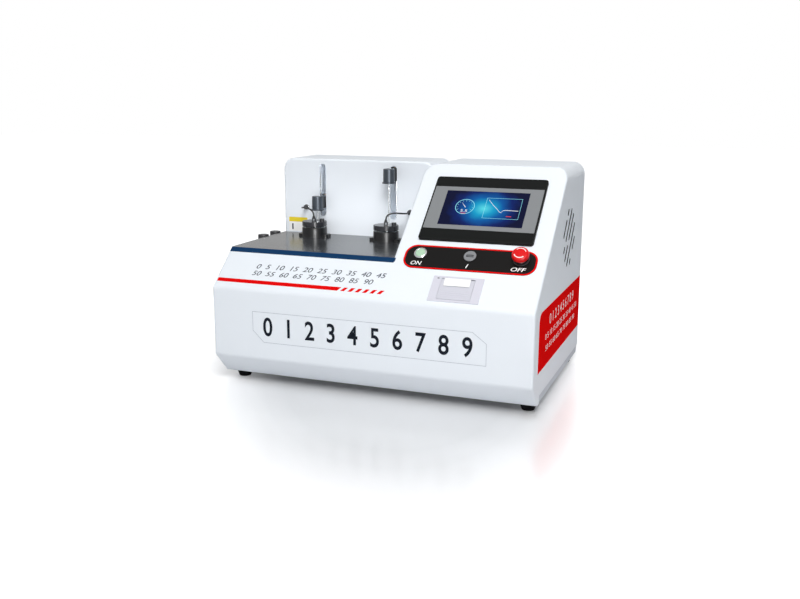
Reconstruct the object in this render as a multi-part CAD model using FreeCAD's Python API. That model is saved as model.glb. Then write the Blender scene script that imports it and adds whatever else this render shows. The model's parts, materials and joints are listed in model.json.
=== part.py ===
import FreeCAD, Part
import math
import os
from FreeCAD import Placement, Rotation, Vector

os.makedirs("parts", exist_ok=True)

# A bench-top tester that finds the temperature at which a liquid crystallizes, with two cooled
# stations. All sizes are in millimetres. Housing coordinates are used throughout: x runs to the right
# from the lower left corner seen in the photograph, y from the vertical front face to the back, z up
# from the bottom edge. The left side itself stands at LEFT_X.

# Housing
LEFT_X = -3.0
WIDTH = 570.0
DEPTH = 386.4
HEIGHT = 366.3
SHEET = 1.5
CONSOLE_X = 311.0
SLOPE_FOOT_Z = 159.9
SLOPE_TOP_Y = 233.6
TOE_Y = 35.2
TOE_Z = 36.9
BEND_R = 12.0
TOP_CORNER_R = 22.0
EDGE_R = 4.0
FOOT_HEIGHT = 12.0
FOOT_X = (27.0, 552.0)
FOOT_FRONT_Y = 52.0
FOOT_BACK_Y = 350.0
SKIRT_HEIGHT = 14.0
SKIRT_START_Y = 49.0
FLANGE_LAP = 12.0
LABEL = 0.25

# Deck and lift cabinet
DECK_Z = 219.8
DECK_PLATE = 7.0
TRIM_PLATE = 1.2
TRIM_CORNER_R = 5.0
CABINET_Y = 275.9
CABINET_TOP = 365.8
CABINET_EDGE_R = 4.0
SLOT_WIDTH = 13.6
SLOT_LOW = 254.0
SLOT_HIGH = 356.0
CABINET_MOUTH_MARGIN = 12.0

# The two stations
STATION_X = {"left": 81.3, "right": 229.4}
WELL_Y = 237.2
EAR_REACH = 31.0
EAR_DEPTH = 22.0
EAR_HEIGHT = 5.0
COLLAR_R = 23.8
COLLAR_TOP = 238.0
TUBE_R = 20.0
TUBE_WALL = 1.5
TUBE_RIM_R = 22.4
TUBE_RIM = 2.5
TUBE_BOTTOM = 92.0
TUBE_GAP = 0.6
LID_TOP = 249.5
LID_R = 23.7
STOPPER_DX = 16.0
STOPPER_R = 4.6
STOPPER_HEIGHT = 5.0
BLOCK_SIDE = 60.0
BLOCK_BOTTOM = 86.0
BLOCK_TOP = 209.0
FOAM = 7.5

# Stirrers and their lifts
STIR_DY = 15.0
HEAD_R = 10.7
HEAD_HEIGHT = 27.0
HEAD_LOW = {"left": 268.4, "right": 325.4}
STIR_ROD_R = 1.25
STIR_ROD_LENGTH = 157.4
STIR_RING_R = 8.0
STIR_EYE = 5.0
STIR_EYE_R = 2.0
ARM_WIDTH = 10.0
ARM_HEIGHT = 24.0
LIFT_Y = 301.0
CARRIAGE_WIDTH = 56.0
CARRIAGE_DEPTH = 26.0
GUIDE_DX = 19.0
GUIDE_R = 4.0
SCREW_R = 4.0
NUT_R = 8.0
RUNNING_FIT = 0.06
STAND_BACK_Y = 330.0
STAND_WIDTH = 70.0
STAND_PLATE = 3.0
STAND_TOP_Z = 356.0
STAND_LOW_Z = 241.0
MOTOR_TOP = 210.0
MOTOR_SIDE = 42.3
MOTOR_HEIGHT = 40.0

# Temperature probes and their leads
PROBE_DX = 5.0
PROBE_DY = -13.0
PROBE_R = 1.5
PROBE_BOTTOM = 108.0
GLAND_HEIGHT = 8.0
YOKE_HALF = 2.7
YOKE_R = 1.3
LEAD_DIAMETER = 3.0
PLUG_X = {"left": 46.6, "right": 264.0}
PLUG_Z = {"left": 271.0, "right": 270.0}
PLUG_TIP_Y = 264.0

# Panels on the slope, placed by u across and v up the slope from its foot
HMI_U = 442.1
HMI_V = 204.4
HMI_WIDTH = 198.2
HMI_HEIGHT = 144.2
HMI_PROUD = 5.5
HMI_BODY_DEPTH = 32.0
OVERLAY_U = 441.5
OVERLAY_V = 96.5
OVERLAY_WIDTH = 225.8
OVERLAY_HEIGHT = 49.6
OVERLAY_R = 20.0
OVERLAY = 0.8
CONTROL_V = 103.3
POWER_U = 355.5
USB_U = 441.5
STOP_U = 527.5
POWER_TRAVEL = 2.5
STOP_TRAVEL = 4.0
STOP_R = 14.5
PRINTER_U = 434.0
PRINTER_V = 33.5
PRINTER_WIDTH = 85.5
PRINTER_HEIGHT = 50.8
PRINTER_PROUD = 1.5
DOOR_HALF = 28.0
DOOR_HINGE_Y = -18.5
DOOR_HINGE_Z = -3.0 + PRINTER_PROUD
DOOR_TOP_Y = 19.7
BAY_LOW_Y = -21.8
BAY_HIGH_Y = 21.3
BAY_HALF = 28.4
BAY_DEPTH = 42.0
PAPER_WIDTH = 44.0

# Side vents and the fan behind them
VENT_Y = 254.5
VENT_Z = 243.1
VENT_R = 51.0
VENT_SLANT = 48.0
VENT_WIDTH = 4.5
FAN_SIDE = 120.0
FAN_DEPTH = 25.0

# Back and left side
REAR_REACH = 3.0
INLET_X = 500.0
INLET_Z = 48.0
CAP_R = 10.5
CAP_CENTRE_X = -15.0
CAP_TOP = 222.0
CAP_HEIGHT = 18.0
CAP_Y = {"front": 208.5, "rear": 256.4}
NECK_Z = 198.0

# Values that follow from the ones above
SLOPE_DEG = math.degrees(math.atan2(HEIGHT - SLOPE_FOOT_Z, SLOPE_TOP_Y))
SLOPE = Placement(Vector(0, 0, SLOPE_FOOT_Z), Rotation(Vector(1, 0, 0), SLOPE_DEG))
CAP_REACH = CAP_R - CAP_CENTRE_X
SHELF_Z = DECK_Z - DECK_PLATE
ORIGIN = Vector((CAP_REACH - WIDTH - LABEL) / 2, (LABEL - DEPTH - REAR_REACH) / 2, FOOT_HEIGHT)
BIG = 1000.0


# Small helpers

def moved(shape, x=0.0, y=0.0, z=0.0):
    shape = shape.copy()
    shape.translate(Vector(x, y, z))
    return shape


def block(x0, x1, y0, y1, z0, z1):
    return Part.makeBox(x1 - x0, y1 - y0, z1 - z0, Vector(x0, y0, z0))


def rod(start, direction, radius, length):
    return Part.makeCylinder(radius, length, Vector(*start), Vector(*direction))


def merged(shapes):
    whole = shapes[0].multiFuse(shapes[1:])
    return whole.removeSplitter()


def rounded_edges(points, radii, closed):
    """Straight edges joined by tangent arcs, with one radius for each point."""
    points = [Vector(*point) for point in points]
    last = len(points) - 1
    corners = []
    for i, corner in enumerate(points):
        if radii[i] == 0 or (not closed and i in (0, last)):
            corners.append((corner, None, corner))
            continue
        before = (corner - points[i - 1]).normalize()
        after = (points[(i + 1) % len(points)] - corner).normalize()
        half_turn = before.getAngle(after) / 2
        reach = radii[i] * math.tan(half_turn)
        inward = (after - before).normalize()
        centre = corner + inward * (radii[i] / math.cos(half_turn))
        middle = centre - inward * radii[i]
        corners.append((corner - before * reach, middle, corner + after * reach))
    edges = []
    for i, (start, middle, end) in enumerate(corners):
        if middle is not None:
            edges.append(Part.Arc(start, middle, end).toShape())
        if closed or i < last:
            following = corners[(i + 1) % len(corners)][0]
            if (following - end).Length > 1e-6:
                edges.append(Part.LineSegment(end, following).toShape())
    return edges


def outline_face(points, radii):
    if not isinstance(radii, (list, tuple)):
        radii = [radii] * len(points)
    return Part.Face(Part.Wire(rounded_edges(points, radii, True)))


def plate(corners, radii, low, high):
    """A flat plate of the given outline in XY, from z = low to z = high."""
    face = outline_face([(x, y, low) for x, y in corners], radii)
    return face.extrude(Vector(0, 0, high - low))


def rectangle(width, height):
    x = width / 2
    y = height / 2
    return [(-x, -y), (x, -y), (x, y), (-x, y)]


def turned(profile, radii=0):
    """A closed outline of (radius, height) points, turned about the Z axis."""
    face = outline_face([(r, 0, z) for r, z in profile], radii)
    return face.revolve(Vector(0, 0, 0), Vector(0, 0, 1), 360)


def on_slope(shape, u, v):
    """Take a shape made flat, x across and y up, and set it on the slope at (u, v)."""
    shape = shape.copy()
    shape.Placement = SLOPE * Placement(Vector(u, v, 0), Rotation()) * shape.Placement
    return shape


def save(name, *shapes):
    shape = shapes[0] if len(shapes) == 1 else Part.makeCompound(list(shapes))
    shape = moved(shape, ORIGIN.x, ORIGIN.y, ORIGIN.z)
    assert shape.isValid(), name
    shape.exportStep("parts/" + name + ".step")
    box = shape.BoundBox
    size = (round(box.XLength, 1), round(box.YLength, 1), round(box.ZLength, 1))
    print(name, len(shape.Solids), "solids", round(shape.Volume / 1000, 2), "cm3", size)


# Housing shells: each is an outer body less the same body drawn inwards by the sheet

def shifted_outline(points, shifts):
    """Move each edge of a clockwise (y, z) outline inwards by its shift and find the new corners."""
    lines = []
    for i, (y0, z0) in enumerate(points):
        y1, z1 = points[(i + 1) % len(points)]
        length = math.hypot(y1 - y0, z1 - z0)
        dy, dz = (y1 - y0) / length, (z1 - z0) / length
        lines.append((y0 - dz * shifts[i], z0 + dy * shifts[i], dy, dz))
    corners = []
    for i, (y0, z0, dy0, dz0) in enumerate(lines):
        y1, z1, dy1, dz1 = lines[i - 1]
        along = ((y1 - y0) * dz1 - (z1 - z0) * dy1) / (dy0 * dz1 - dz0 * dy1)
        corners.append((y0 + dy0 * along, z0 + dz0 * along))
    return corners


def side_prism(x0, x1, inset, opened):
    """The housing's side view, carried from x0 to x1. The bottom and back are opened outwards."""
    points = [(TOE_Y, 0), (DEPTH, 0), (DEPTH, HEIGHT), (SLOPE_TOP_Y, HEIGHT), (0, SLOPE_FOOT_Z), (0, TOE_Z)]
    corners = shifted_outline(points, [-opened, -opened, inset, inset, inset, inset])
    radii = [0, 0, 0, 0, BEND_R - inset, BEND_R - inset]
    face = outline_face([(x0, y, z) for y, z in corners], radii)
    return face.extrude(Vector(x1 - x0, 0, 0))


def round_front(shape, radius, wanted_x=None):
    """Round the edges where the sides meet the front and slope, and the edge at the slope's top."""
    low = shape.BoundBox.ZMin
    back = shape.BoundBox.YMax
    high = shape.BoundBox.ZMax
    chosen = []
    for edge in shape.Edges:
        middle = edge.valueAt((edge.FirstParameter + edge.LastParameter) / 2)
        along = edge.tangentAt((edge.FirstParameter + edge.LastParameter) / 2)
        at_top = middle.z > high - 0.01
        if middle.y > back - 0.01 or middle.z < low + 0.01 or abs(along.y) > 0.999:
            continue
        if abs(along.x) > 0.999 and not at_top:
            continue
        if wanted_x is not None and abs(middle.x - wanted_x) > 0.01:
            continue
        chosen.append(edge)
    return shape.makeFillet(radius, chosen)


def arched(x0, x1, y0, y1, low, high, radius):
    """A block with its two upper corners rounded, seen from the front."""
    points = [(x0, y0, low), (x1, y0, low), (x1, y0, high), (x0, y0, high)]
    return outline_face(points, [0, 0, radius, radius]).extrude(Vector(0, y1 - y0, 0))


def console_body(inset, opened):
    prism = side_prism(CONSOLE_X + inset, WIDTH - inset, inset, opened)
    past = 10
    arch = arched(CONSOLE_X + inset, WIDTH - inset, -past, DEPTH + past, -past,
                  HEIGHT - inset, TOP_CORNER_R - inset)
    return round_front(prism.common(arch), EDGE_R - inset)


def low_body(inset, opened, top):
    prism = side_prism(LEFT_X + inset, CONSOLE_X + 2 * EDGE_R, inset, opened)
    prism = prism.common(block(-BIG, BIG, -BIG, BIG, -BIG, top))
    return round_front(prism, EDGE_R - inset, LEFT_X + inset)


def cabinet_body(inset, opened):
    arch = arched(LEFT_X + inset, CONSOLE_X - inset, CABINET_Y + inset, DEPTH + opened,
                  SHELF_Z - opened, CABINET_TOP - inset, TOP_CORNER_R - inset)
    front = CABINET_Y + inset
    chosen = []
    for edge in arch.Edges:
        box = edge.BoundBox
        if box.YMax < front + 0.01 and box.ZMax > SHELF_Z + 1:
            chosen.append(edge)
    return arch.makeFillet(CABINET_EDGE_R - inset, chosen)


def vent_slots():
    """Slanted air slots through the right side, their ends following a circle."""
    slots = []
    gaps = {15.4: (7, 18), -6.5: (-35, -22), -26.5: (-18, -5), -48.0: None, -67.5: (-19, 3)}
    middle = -26.0
    for offset, gap in gaps.items():
        across = offset - middle
        half = math.sqrt(VENT_R ** 2 - across ** 2)
        if gap is None:
            spans = [(-half, half)]
        else:
            spans = [(-half, gap[0]), (gap[1], half)]
        for start, end in spans:
            slot = plate(rectangle(end - start, VENT_WIDTH), VENT_WIDTH / 2 - 0.01, -3, 3)
            slots.append(moved(slot, (start + end) / 2, across, 0))
    group = Part.makeCompound(slots)
    upright = Rotation(Vector(0, 1, 0), Vector(0, 0, 1), Vector(1, 0, 0), "ZXY")
    turn = Rotation(Vector(0, 0, 1), VENT_SLANT)
    group.Placement = Placement(Vector(WIDTH, VENT_Y, VENT_Z), upright * turn)
    return group


def make_main_housing():
    outer = low_body(0, 0, SHELF_Z).fuse(console_body(0, 0))
    inner = low_body(SHEET, 2, SHELF_Z - SHEET).fuse(console_body(SHEET, 2))
    shell = outer.cut(inner)
    holes = [on_slope(plate(rectangle(HMI_WIDTH - 8, HMI_HEIGHT - 9), 2, -3, 1), HMI_U, HMI_V),
             on_slope(plate(rectangle(62, 47.6), 1, -3, 1), PRINTER_U, PRINTER_V),
             on_slope(rod((0, 0, -3), (0, 0, 1), 9.6, 5), POWER_U, CONTROL_V),
             on_slope(rod((0, 0, -3), (0, 0, 1), 9.1, 5), USB_U, CONTROL_V),
             on_slope(rod((0, 0, -3), (0, 0, 1), 11.2, 5), STOP_U, CONTROL_V),
             block(CABINET_MOUTH_MARGIN, CONSOLE_X - CABINET_MOUTH_MARGIN, CABINET_Y + 8, DEPTH + 5,
                   SHELF_Z - 5, SHELF_Z + 1)]
    for x in STATION_X.values():
        holes.append(rod((x, WELL_Y, SHELF_Z - 5), (0, 0, 1), COLLAR_R, 8))
    for y in CAP_Y.values():
        holes.append(rod((LEFT_X - 1, y, NECK_Z), (1, 0, 0), 5.1, 5))
    for outside in (LEFT_X - 1, WIDTH - SHEET):
        holes.append(block(outside, outside + SHEET + 1, SKIRT_START_Y, DEPTH + 1, -1, SKIRT_HEIGHT))
    holes += vent_slots().Solids
    shell = shell.cut(holes)
    save("main_housing", shell)


def make_lift_cabinet():
    shell = cabinet_body(0, 0).cut(cabinet_body(SHEET, 2))
    for side, x in STATION_X.items():
        slot = plate(rectangle(SLOT_WIDTH, SLOT_HIGH - SLOT_LOW), SLOT_WIDTH / 2 - 0.01, -3, 3)
        slot.rotate(Vector(0, 0, 0), Vector(1, 0, 0), 90)
        shell = shell.cut(moved(slot, x, CABINET_Y, (SLOT_HIGH + SLOT_LOW) / 2))
        shell = shell.cut(rod((PLUG_X[side], CABINET_Y - 1, PLUG_Z[side]), (0, 1, 0), 3.1, 5))
    save("lift_cabinet_cover", shell)


def make_deck():
    band = block(-BIG, BIG, -BIG, CABINET_Y, SHELF_Z, DECK_Z)
    whole = low_body(0, 0, HEIGHT - 1).common(band).cut(console_body(0, 0))
    behind_trim = SLOPE.Rotation.multVec(Vector(0, 0, -TRIM_PLATE))
    keep = side_prism(-BIG, BIG, 0, 0)
    keep.translate(behind_trim)
    deck = whole.common(keep)
    trim = whole.cut(keep).Solids[0]
    low_v = (SHELF_Z - SLOPE_FOOT_Z) / math.sin(math.radians(SLOPE_DEG))
    end = CONSOLE_X + EDGE_R
    outline = [(LEFT_X - 1, low_v), (end, low_v), (end, low_v + 40), (LEFT_X - 1, low_v + 40)]
    trim = trim.common(on_slope(plate(outline, [0, TRIM_CORNER_R, 0, 0], -5, 5), 0, 0))
    for x in STATION_X.values():
        deck = deck.cut(rod((x, WELL_Y, SHELF_Z - 1), (0, 0, 1), COLLAR_R, DECK_PLATE + 2))
    save("deck_plate", deck)
    save("deck_front_trim", trim)


# Back, base, feet and screws

def screw_points():
    """Where the case screws sit on the back, as (x, z) pairs."""
    points = []
    for x in (12, 150, 285, 420, 558):
        points.append((x, 14))
    for z in (75, 140):
        points += [(12, z), (558, z)]
    points += [(12, 200), (558, 205), (558, 270), (558, 335), (12, 280), (12, 335), (305, 280), (305, 335)]
    points += [(330, 280), (330, 335)]
    return points


def make_back():
    behind = DEPTH - SHEET
    gap = 0.3
    low = low_body(SHEET + gap, 2, SHELF_Z - SHEET - gap).fuse(console_body(SHEET + gap, 2))
    panel = low.common(block(-BIG, BIG, behind, DEPTH, SHEET + gap, BIG))
    panel = panel.cut(block(INLET_X - 14, INLET_X + 14, behind - 1, DEPTH + 1, INLET_Z - 23, INLET_Z + 23))
    for row in range(6):
        for column in range(9):
            x = 345 + column * 14
            z = 110 + row * 10
            slot = plate(rectangle(10, 3.4), 1.69, -3, 3)
            slot.rotate(Vector(0, 0, 0), Vector(1, 0, 0), 90)
            panel = panel.cut(moved(slot, x, DEPTH, z))
    upper = cabinet_body(SHEET + gap, 2).common(block(-BIG, BIG, behind, DEPTH, SHELF_Z + gap, BIG))
    save("rear_panels", panel, upper)

    screws = []
    for x, z in screw_points():
        head = turned([(0, 0), (3.2, 0), (3.2, 0.8), (1.8, 1.9), (0, 1.9)], [0, 0, 0.5, 0.6, 0])
        for angle in (0, 90):
            cross = block(-1.6, 1.6, -0.35, 0.35, 1.1, 3)
            cross.rotate(Vector(0, 0, 0), Vector(0, 0, 1), angle)
            head = head.cut(cross)
        head.rotate(Vector(0, 0, 0), Vector(1, 0, 0), -90)
        screws.append(moved(head, x, DEPTH, z))
    save("case_screws", *screws)


def make_base_and_feet():
    left = LEFT_X + SHEET
    outline = [(left, TOE_Y + SHEET + 2), (WIDTH - SHEET, TOE_Y + SHEET + 2),
               (WIDTH - SHEET, DEPTH - SHEET), (left, DEPTH - SHEET)]
    floor = plate(outline, [EDGE_R, EDGE_R, 0, 0], 0, SHEET)
    flanges = [block(x, x + SHEET, SKIRT_START_Y - 2, DEPTH - 6, 0, SKIRT_HEIGHT + FLANGE_LAP)
               for x in (left, WIDTH - 2 * SHEET)]
    base = merged([floor] + flanges)
    feet = []
    for x in FOOT_X:
        for y in (FOOT_FRONT_Y, FOOT_BACK_Y):
            base = base.cut(rod((x, y, -1), (0, 0, 1), 2.2, 4))
            shape = turned([(0, -6), (4.5, -6), (4.5, -FOOT_HEIGHT), (10.5, -FOOT_HEIGHT), (14.5, 0), (0, 0)],
                           [0, 0, 0.5, 1.5, 0.8, 0])
            feet.append(moved(shape, x, y, 0))
    save("base_plate", base)
    save("feet", *feet)


# Touch panel

def make_touch_panel():
    recess = 1.2
    outer = plate(rectangle(HMI_WIDTH, HMI_HEIGHT), 5, 0, HMI_PROUD)
    front_edges = [edge for edge in outer.Edges if edge.BoundBox.ZMin > HMI_PROUD - 0.01]
    outer = outer.makeFillet(1.5, front_edges)
    window = plate(rectangle(HMI_WIDTH - 5, HMI_HEIGHT - 5), 3.5, HMI_PROUD - recess, HMI_PROUD + 1)
    opening = plate(rectangle(158, 92), 1, -1, HMI_PROUD)
    bezel = outer.cut([window, moved(opening, 0, 2)])
    film = plate(rectangle(HMI_WIDTH - 5.4, HMI_HEIGHT - 5.4), 3.3, HMI_PROUD - recess, HMI_PROUD - 0.2)
    rear = plate(rectangle(HMI_WIDTH - 10, HMI_HEIGHT - 11), 3, -HMI_BODY_DEPTH, 0)
    clamps = []
    for x in (-60, 60):
        for side in (-1, 1):
            y = side * (HMI_HEIGHT / 2 - 1.5)
            arm = block(x - 5, x + 5, min(y, y - side * 4), max(y, y - side * 4), -9, -SHEET)
            clamps.append(arm)
    rear = rear.cut(clamps)
    save("hmi_bezel", on_slope(bezel, HMI_U, HMI_V))
    save("hmi_screen", on_slope(film, HMI_U, HMI_V))
    save("hmi_body", *[on_slope(shape, HMI_U, HMI_V) for shape in [rear] + clamps])


# Control row: label, power button, socket, stop button

def make_control_row():
    label = plate(rectangle(OVERLAY_WIDTH, OVERLAY_HEIGHT), OVERLAY_R, 0, OVERLAY)
    for u, radius in ((POWER_U, 9.6), (USB_U, 9.1), (STOP_U, 11.2)):
        label = label.cut(rod((u - OVERLAY_U, CONTROL_V - OVERLAY_V, -1), (0, 0, 1), radius, 3))
    save("control_overlay", on_slope(label, OVERLAY_U, OVERLAY_V))

    seat = -9.5
    ring = turned([(8.5, seat), (9.5, seat), (9.5, OVERLAY), (11, OVERLAY), (11, 2.2), (9.6, 3.3),
                   (8.5, 3.3)], [0, 0, 0, 0.3, 0.8, 0.6, 0.3])
    rear = turned([(0, -24), (8.8, -24), (8.8, seat - 2), (9.5, seat), (0, seat)])
    sixth = math.radians(60)
    hexagon = [(13 * math.cos(k * sixth), 13 * math.sin(k * sixth)) for k in range(6)]
    nut = plate(hexagon, 0, -4.5, -SHEET).cut(rod((0, 0, -6), (0, 0, 1), 9.5, 8))
    body = ring.fuse(rear)
    save("power_button_body", on_slope(body, POWER_U, CONTROL_V), on_slope(nut, POWER_U, CONTROL_V))
    cap_low = seat + 1.0 + POWER_TRAVEL
    cap = turned([(0, cap_low), (8.2, cap_low), (8.2, 3.0), (0, 3.9)], [0, 0.5, 1.0, 0])
    save("power_button_cap", on_slope(cap, POWER_U, CONTROL_V))

    rim_top = 2.3
    disc = turned([(0, -20), (8.0, -20), (9.0, -3), (9.0, OVERLAY), (10.5, OVERLAY), (10.5, rim_top),
                   (0, rim_top)], [0, 1, 0, 0, 0.3, 0.6, 0])
    slot = plate(rectangle(12.4, 4.9), 0.4, -8.5, 4)
    tongue = moved(plate(rectangle(10.6, 1.8), 0.3, -9.0, 0.8), 0, 1.0)
    save("usb_socket", on_slope(disc.cut(slot).fuse(tongue), USB_U, CONTROL_V))

    flange = turned([(8.3, -8), (11, -8), (11, OVERLAY), (13.5, OVERLAY), (13.5, rim_top), (8.3, rim_top)],
                    [0, 0, 0, 0.3, 0.6, 0.3])
    contacts = plate(rectangle(24, 24), 2, -40, -8)
    ring_nut = turned([(11, -6), (14.5, -6), (14.5, -SHEET), (11, -SHEET)], 0.3)
    save("estop_body", *[on_slope(shape, STOP_U, CONTROL_V) for shape in (flange.fuse(contacts), ring_nut)])
    head_low = rim_top + STOP_TRAVEL + 0.6
    shoulder = head_low - 0.1
    plunger = turned([(0, -3.5), (8, -3.5), (8, shoulder), (5, shoulder), (5, 12.5), (0, 12.5)],
                     [0, 0.5, 0.3, 0, 0.5, 0])
    save("estop_plunger", on_slope(plunger, STOP_U, CONTROL_V))
    spigot = 5 + RUNNING_FIT
    head = turned([(0, 12.8), (spigot, 12.8), (spigot, head_low), (11.5, head_low), (STOP_R, 11.5),
                   (13.6, 18.0), (0, 19.3)], [0, 0, 0.3, 1.5, 3, 3.5, 0])
    save("estop_head", on_slope(head, STOP_U, CONTROL_V))


# Panel printer

def make_printer():
    wall = 2.0

    def place(shape):
        return on_slope(shape, PRINTER_U, PRINTER_V)

    face = plate(rectangle(PRINTER_WIDTH, PRINTER_HEIGHT), 1.5, 0, PRINTER_PROUD)
    front_edges = [edge for edge in face.Edges if edge.BoundBox.ZMin > PRINTER_PROUD - 0.01]
    face = face.makeFillet(0.7, front_edges)
    sides = block(-BAY_HALF - wall, BAY_HALF + wall, BAY_LOW_Y - wall, BAY_HIGH_Y + wall,
                  -BAY_DEPTH - wall, 0)
    bay = block(-BAY_HALF, BAY_HALF, BAY_LOW_Y, BAY_HIGH_Y, -BAY_DEPTH, PRINTER_PROUD + 1)
    head_seat_y = BAY_HIGH_Y + 1.1
    head_seat = block(-24, 24, BAY_HIGH_Y - 1, head_seat_y, -16, -1.5)
    frame = face.fuse(sides).cut([bay, head_seat])
    save("printer_frame", place(frame))

    hinge_r = 3.0
    pin_r = 1.2
    leaf = block(-DOOR_HALF, DOOR_HALF, DOOR_HINGE_Y, DOOR_TOP_Y, PRINTER_PROUD - 2, PRINTER_PROUD)
    barrel = rod((-DOOR_HALF, DOOR_HINGE_Y, DOOR_HINGE_Z), (1, 0, 0), hinge_r, 2 * DOOR_HALF)
    door = leaf.fuse(barrel)
    platen_y = 15.8
    platen_z = -7.0 + PRINTER_PROUD
    for side in (-1, 1):
        inside = side * 24.5
        outside = side * 27.0
        ear = block(min(inside, outside), max(inside, outside), 10, 19.6, platen_z - 4, PRINTER_PROUD - 1)
        door = door.fuse(ear)
    door = door.cut(rod((-DOOR_HALF - 1, DOOR_HINGE_Y, DOOR_HINGE_Z), (1, 0, 0), pin_r + RUNNING_FIT, 60))
    door = door.cut(rod((-DOOR_HALF - 1, platen_y, platen_z), (1, 0, 0), 2 + RUNNING_FIT, 60))
    save("printer_door", place(door.removeSplitter()))
    pin = rod((-BAY_HALF, DOOR_HINGE_Y, DOOR_HINGE_Z), (1, 0, 0), pin_r, 2 * BAY_HALF)
    save("printer_hinge_pin", place(pin))

    roller = rod((-23, platen_y, platen_z), (1, 0, 0), 4.5, 46)
    shaft = rod((-26.8, platen_y, platen_z), (1, 0, 0), 2, 53.6)
    save("platen_roller", place(roller.fuse(shaft)))

    roll_z = -23.0
    roll = rod((-PAPER_WIDTH / 2, 0, roll_z), (1, 0, 0), 16.5, PAPER_WIDTH)
    roll = roll.cut(rod((-PAPER_WIDTH / 2 - 1, 0, roll_z), (1, 0, 0), 5.06, PAPER_WIDTH + 2))
    save("paper_roll", place(roll))
    spindle = rod((-BAY_HALF, 0, roll_z), (1, 0, 0), 5.0, 2 * BAY_HALF)
    head = block(-23, 23, BAY_HIGH_Y - 0.15, head_seat_y, -14, -3)
    save("printer_mechanism", place(spindle), place(head))

    # The slip leaves the nip, turns over the door's edge and hangs down over the door
    paper = 0.2
    rise = PRINTER_PROUD + 0.6
    slip_y = 20.45
    curl = 2.2
    half = PAPER_WIDTH / 2
    stem = block(-half, half, slip_y, slip_y + paper, platen_z, rise)
    bend = rod((-half, slip_y + paper - curl, rise), (1, 0, 0), curl, PAPER_WIDTH)
    bend = bend.cut(rod((-half, slip_y + paper - curl, rise), (1, 0, 0), curl - paper, PAPER_WIDTH))
    bend = bend.common(block(-BIG, BIG, slip_y + paper - curl, BIG, rise, BIG))
    flap = block(-half, half, 4.5, slip_y + paper - curl, rise + curl - paper, rise + curl)
    save("paper_strip", place(merged([stem, bend, flap])))


# Stations: collar, lid, glass tube, probe

def make_station(x):
    """The collar, tube, lid with its stopper, and probe of one station."""
    bore = TUBE_R + TUBE_GAP
    skirt = COLLAR_R - 0.3
    collar = turned([(bore, BLOCK_TOP), (skirt, BLOCK_TOP), (skirt, DECK_Z), (COLLAR_R, DECK_Z),
                     (COLLAR_R, COLLAR_TOP), (bore, COLLAR_TOP)], [0, 0, 0, 0, 0.8, 0.4])
    ears = plate(rectangle(2 * EAR_REACH, EAR_DEPTH), 6, DECK_Z, DECK_Z + EAR_HEIGHT)
    ears = ears.cut(rod((0, 0, DECK_Z - 1), (0, 0, 1), COLLAR_R - 1, EAR_HEIGHT + 2))
    collar = merged([collar, ears])

    inner = TUBE_R - TUBE_WALL
    tube = turned([(0, TUBE_BOTTOM), (TUBE_R, TUBE_BOTTOM), (TUBE_R, COLLAR_TOP), (TUBE_RIM_R, COLLAR_TOP),
                   (TUBE_RIM_R, COLLAR_TOP + TUBE_RIM), (inner, COLLAR_TOP + TUBE_RIM),
                   (inner, TUBE_BOTTOM + TUBE_WALL), (0, TUBE_BOTTOM + TUBE_WALL)],
                  [0, 8, 0.3, 0.8, 0.8, 0.4, 6.5, 0])

    rest = COLLAR_TOP + TUBE_RIM
    plug_r = inner - 0.4
    lid = turned([(0, rest - 8), (plug_r, rest - 8), (plug_r, rest), (LID_R, rest), (LID_R, LID_TOP),
                  (0, LID_TOP)], [0, 1, 0, 0.5, 1.2, 0])
    lid = lid.cut(rod((0, STIR_DY, rest - 10), (0, 0, 1), STIR_ROD_R + 0.6, 25))
    lid = lid.cut(rod((PROBE_DX, PROBE_DY, rest - 10), (0, 0, 1), PROBE_R, 25))
    stopper = turned([(0, LID_TOP), (STOPPER_R, LID_TOP), (STOPPER_R, LID_TOP + STOPPER_HEIGHT),
                      (0, LID_TOP + STOPPER_HEIGHT)], [0, 0, 1, 0])
    stopper = moved(stopper, STOPPER_DX, 0, 0)

    gland_top = LID_TOP + GLAND_HEIGHT
    foot = LID_TOP + 1.2
    sheath = turned([(0, PROBE_BOTTOM), (PROBE_R, PROBE_BOTTOM), (PROBE_R, LID_TOP), (4, LID_TOP),
                     (4, foot), (0, foot)], [0, 0.8, 0, 0.3, 0.5, 0])
    bridge_z = gland_top - YOKE_R
    yoke = [rod((-YOKE_HALF, 0, bridge_z), (1, 0, 0), YOKE_R, 2 * YOKE_HALF),
            rod((0, 0, bridge_z), (0, 0, 1), LEAD_DIAMETER / 2, YOKE_R)]
    for dx in (-YOKE_HALF, YOKE_HALF):
        yoke.append(Part.makeSphere(YOKE_R, Vector(dx, 0, bridge_z)))
        yoke.append(rod((dx, 0, foot - 0.5), (0, 0, 1), YOKE_R - 0.1, bridge_z - foot + 0.5))
    probe = moved(merged([sheath] + yoke), PROBE_DX, PROBE_DY, 0)
    pieces = {
        "well_collars": [collar],
        "sample_tubes": [tube],
        "well_lids": [lid, stopper],
        "probes": [probe],
    }
    return {name: [moved(shape, x, WELL_Y, 0) for shape in shapes] for name, shapes in pieces.items()}


def make_stations():
    left = make_station(STATION_X["left"])
    right = make_station(STATION_X["right"])
    for name in left:
        save(name, *(left[name] + right[name]))


# Probe leads: the route of each, from the gland on the lid to the plug on the cabinet

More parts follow.
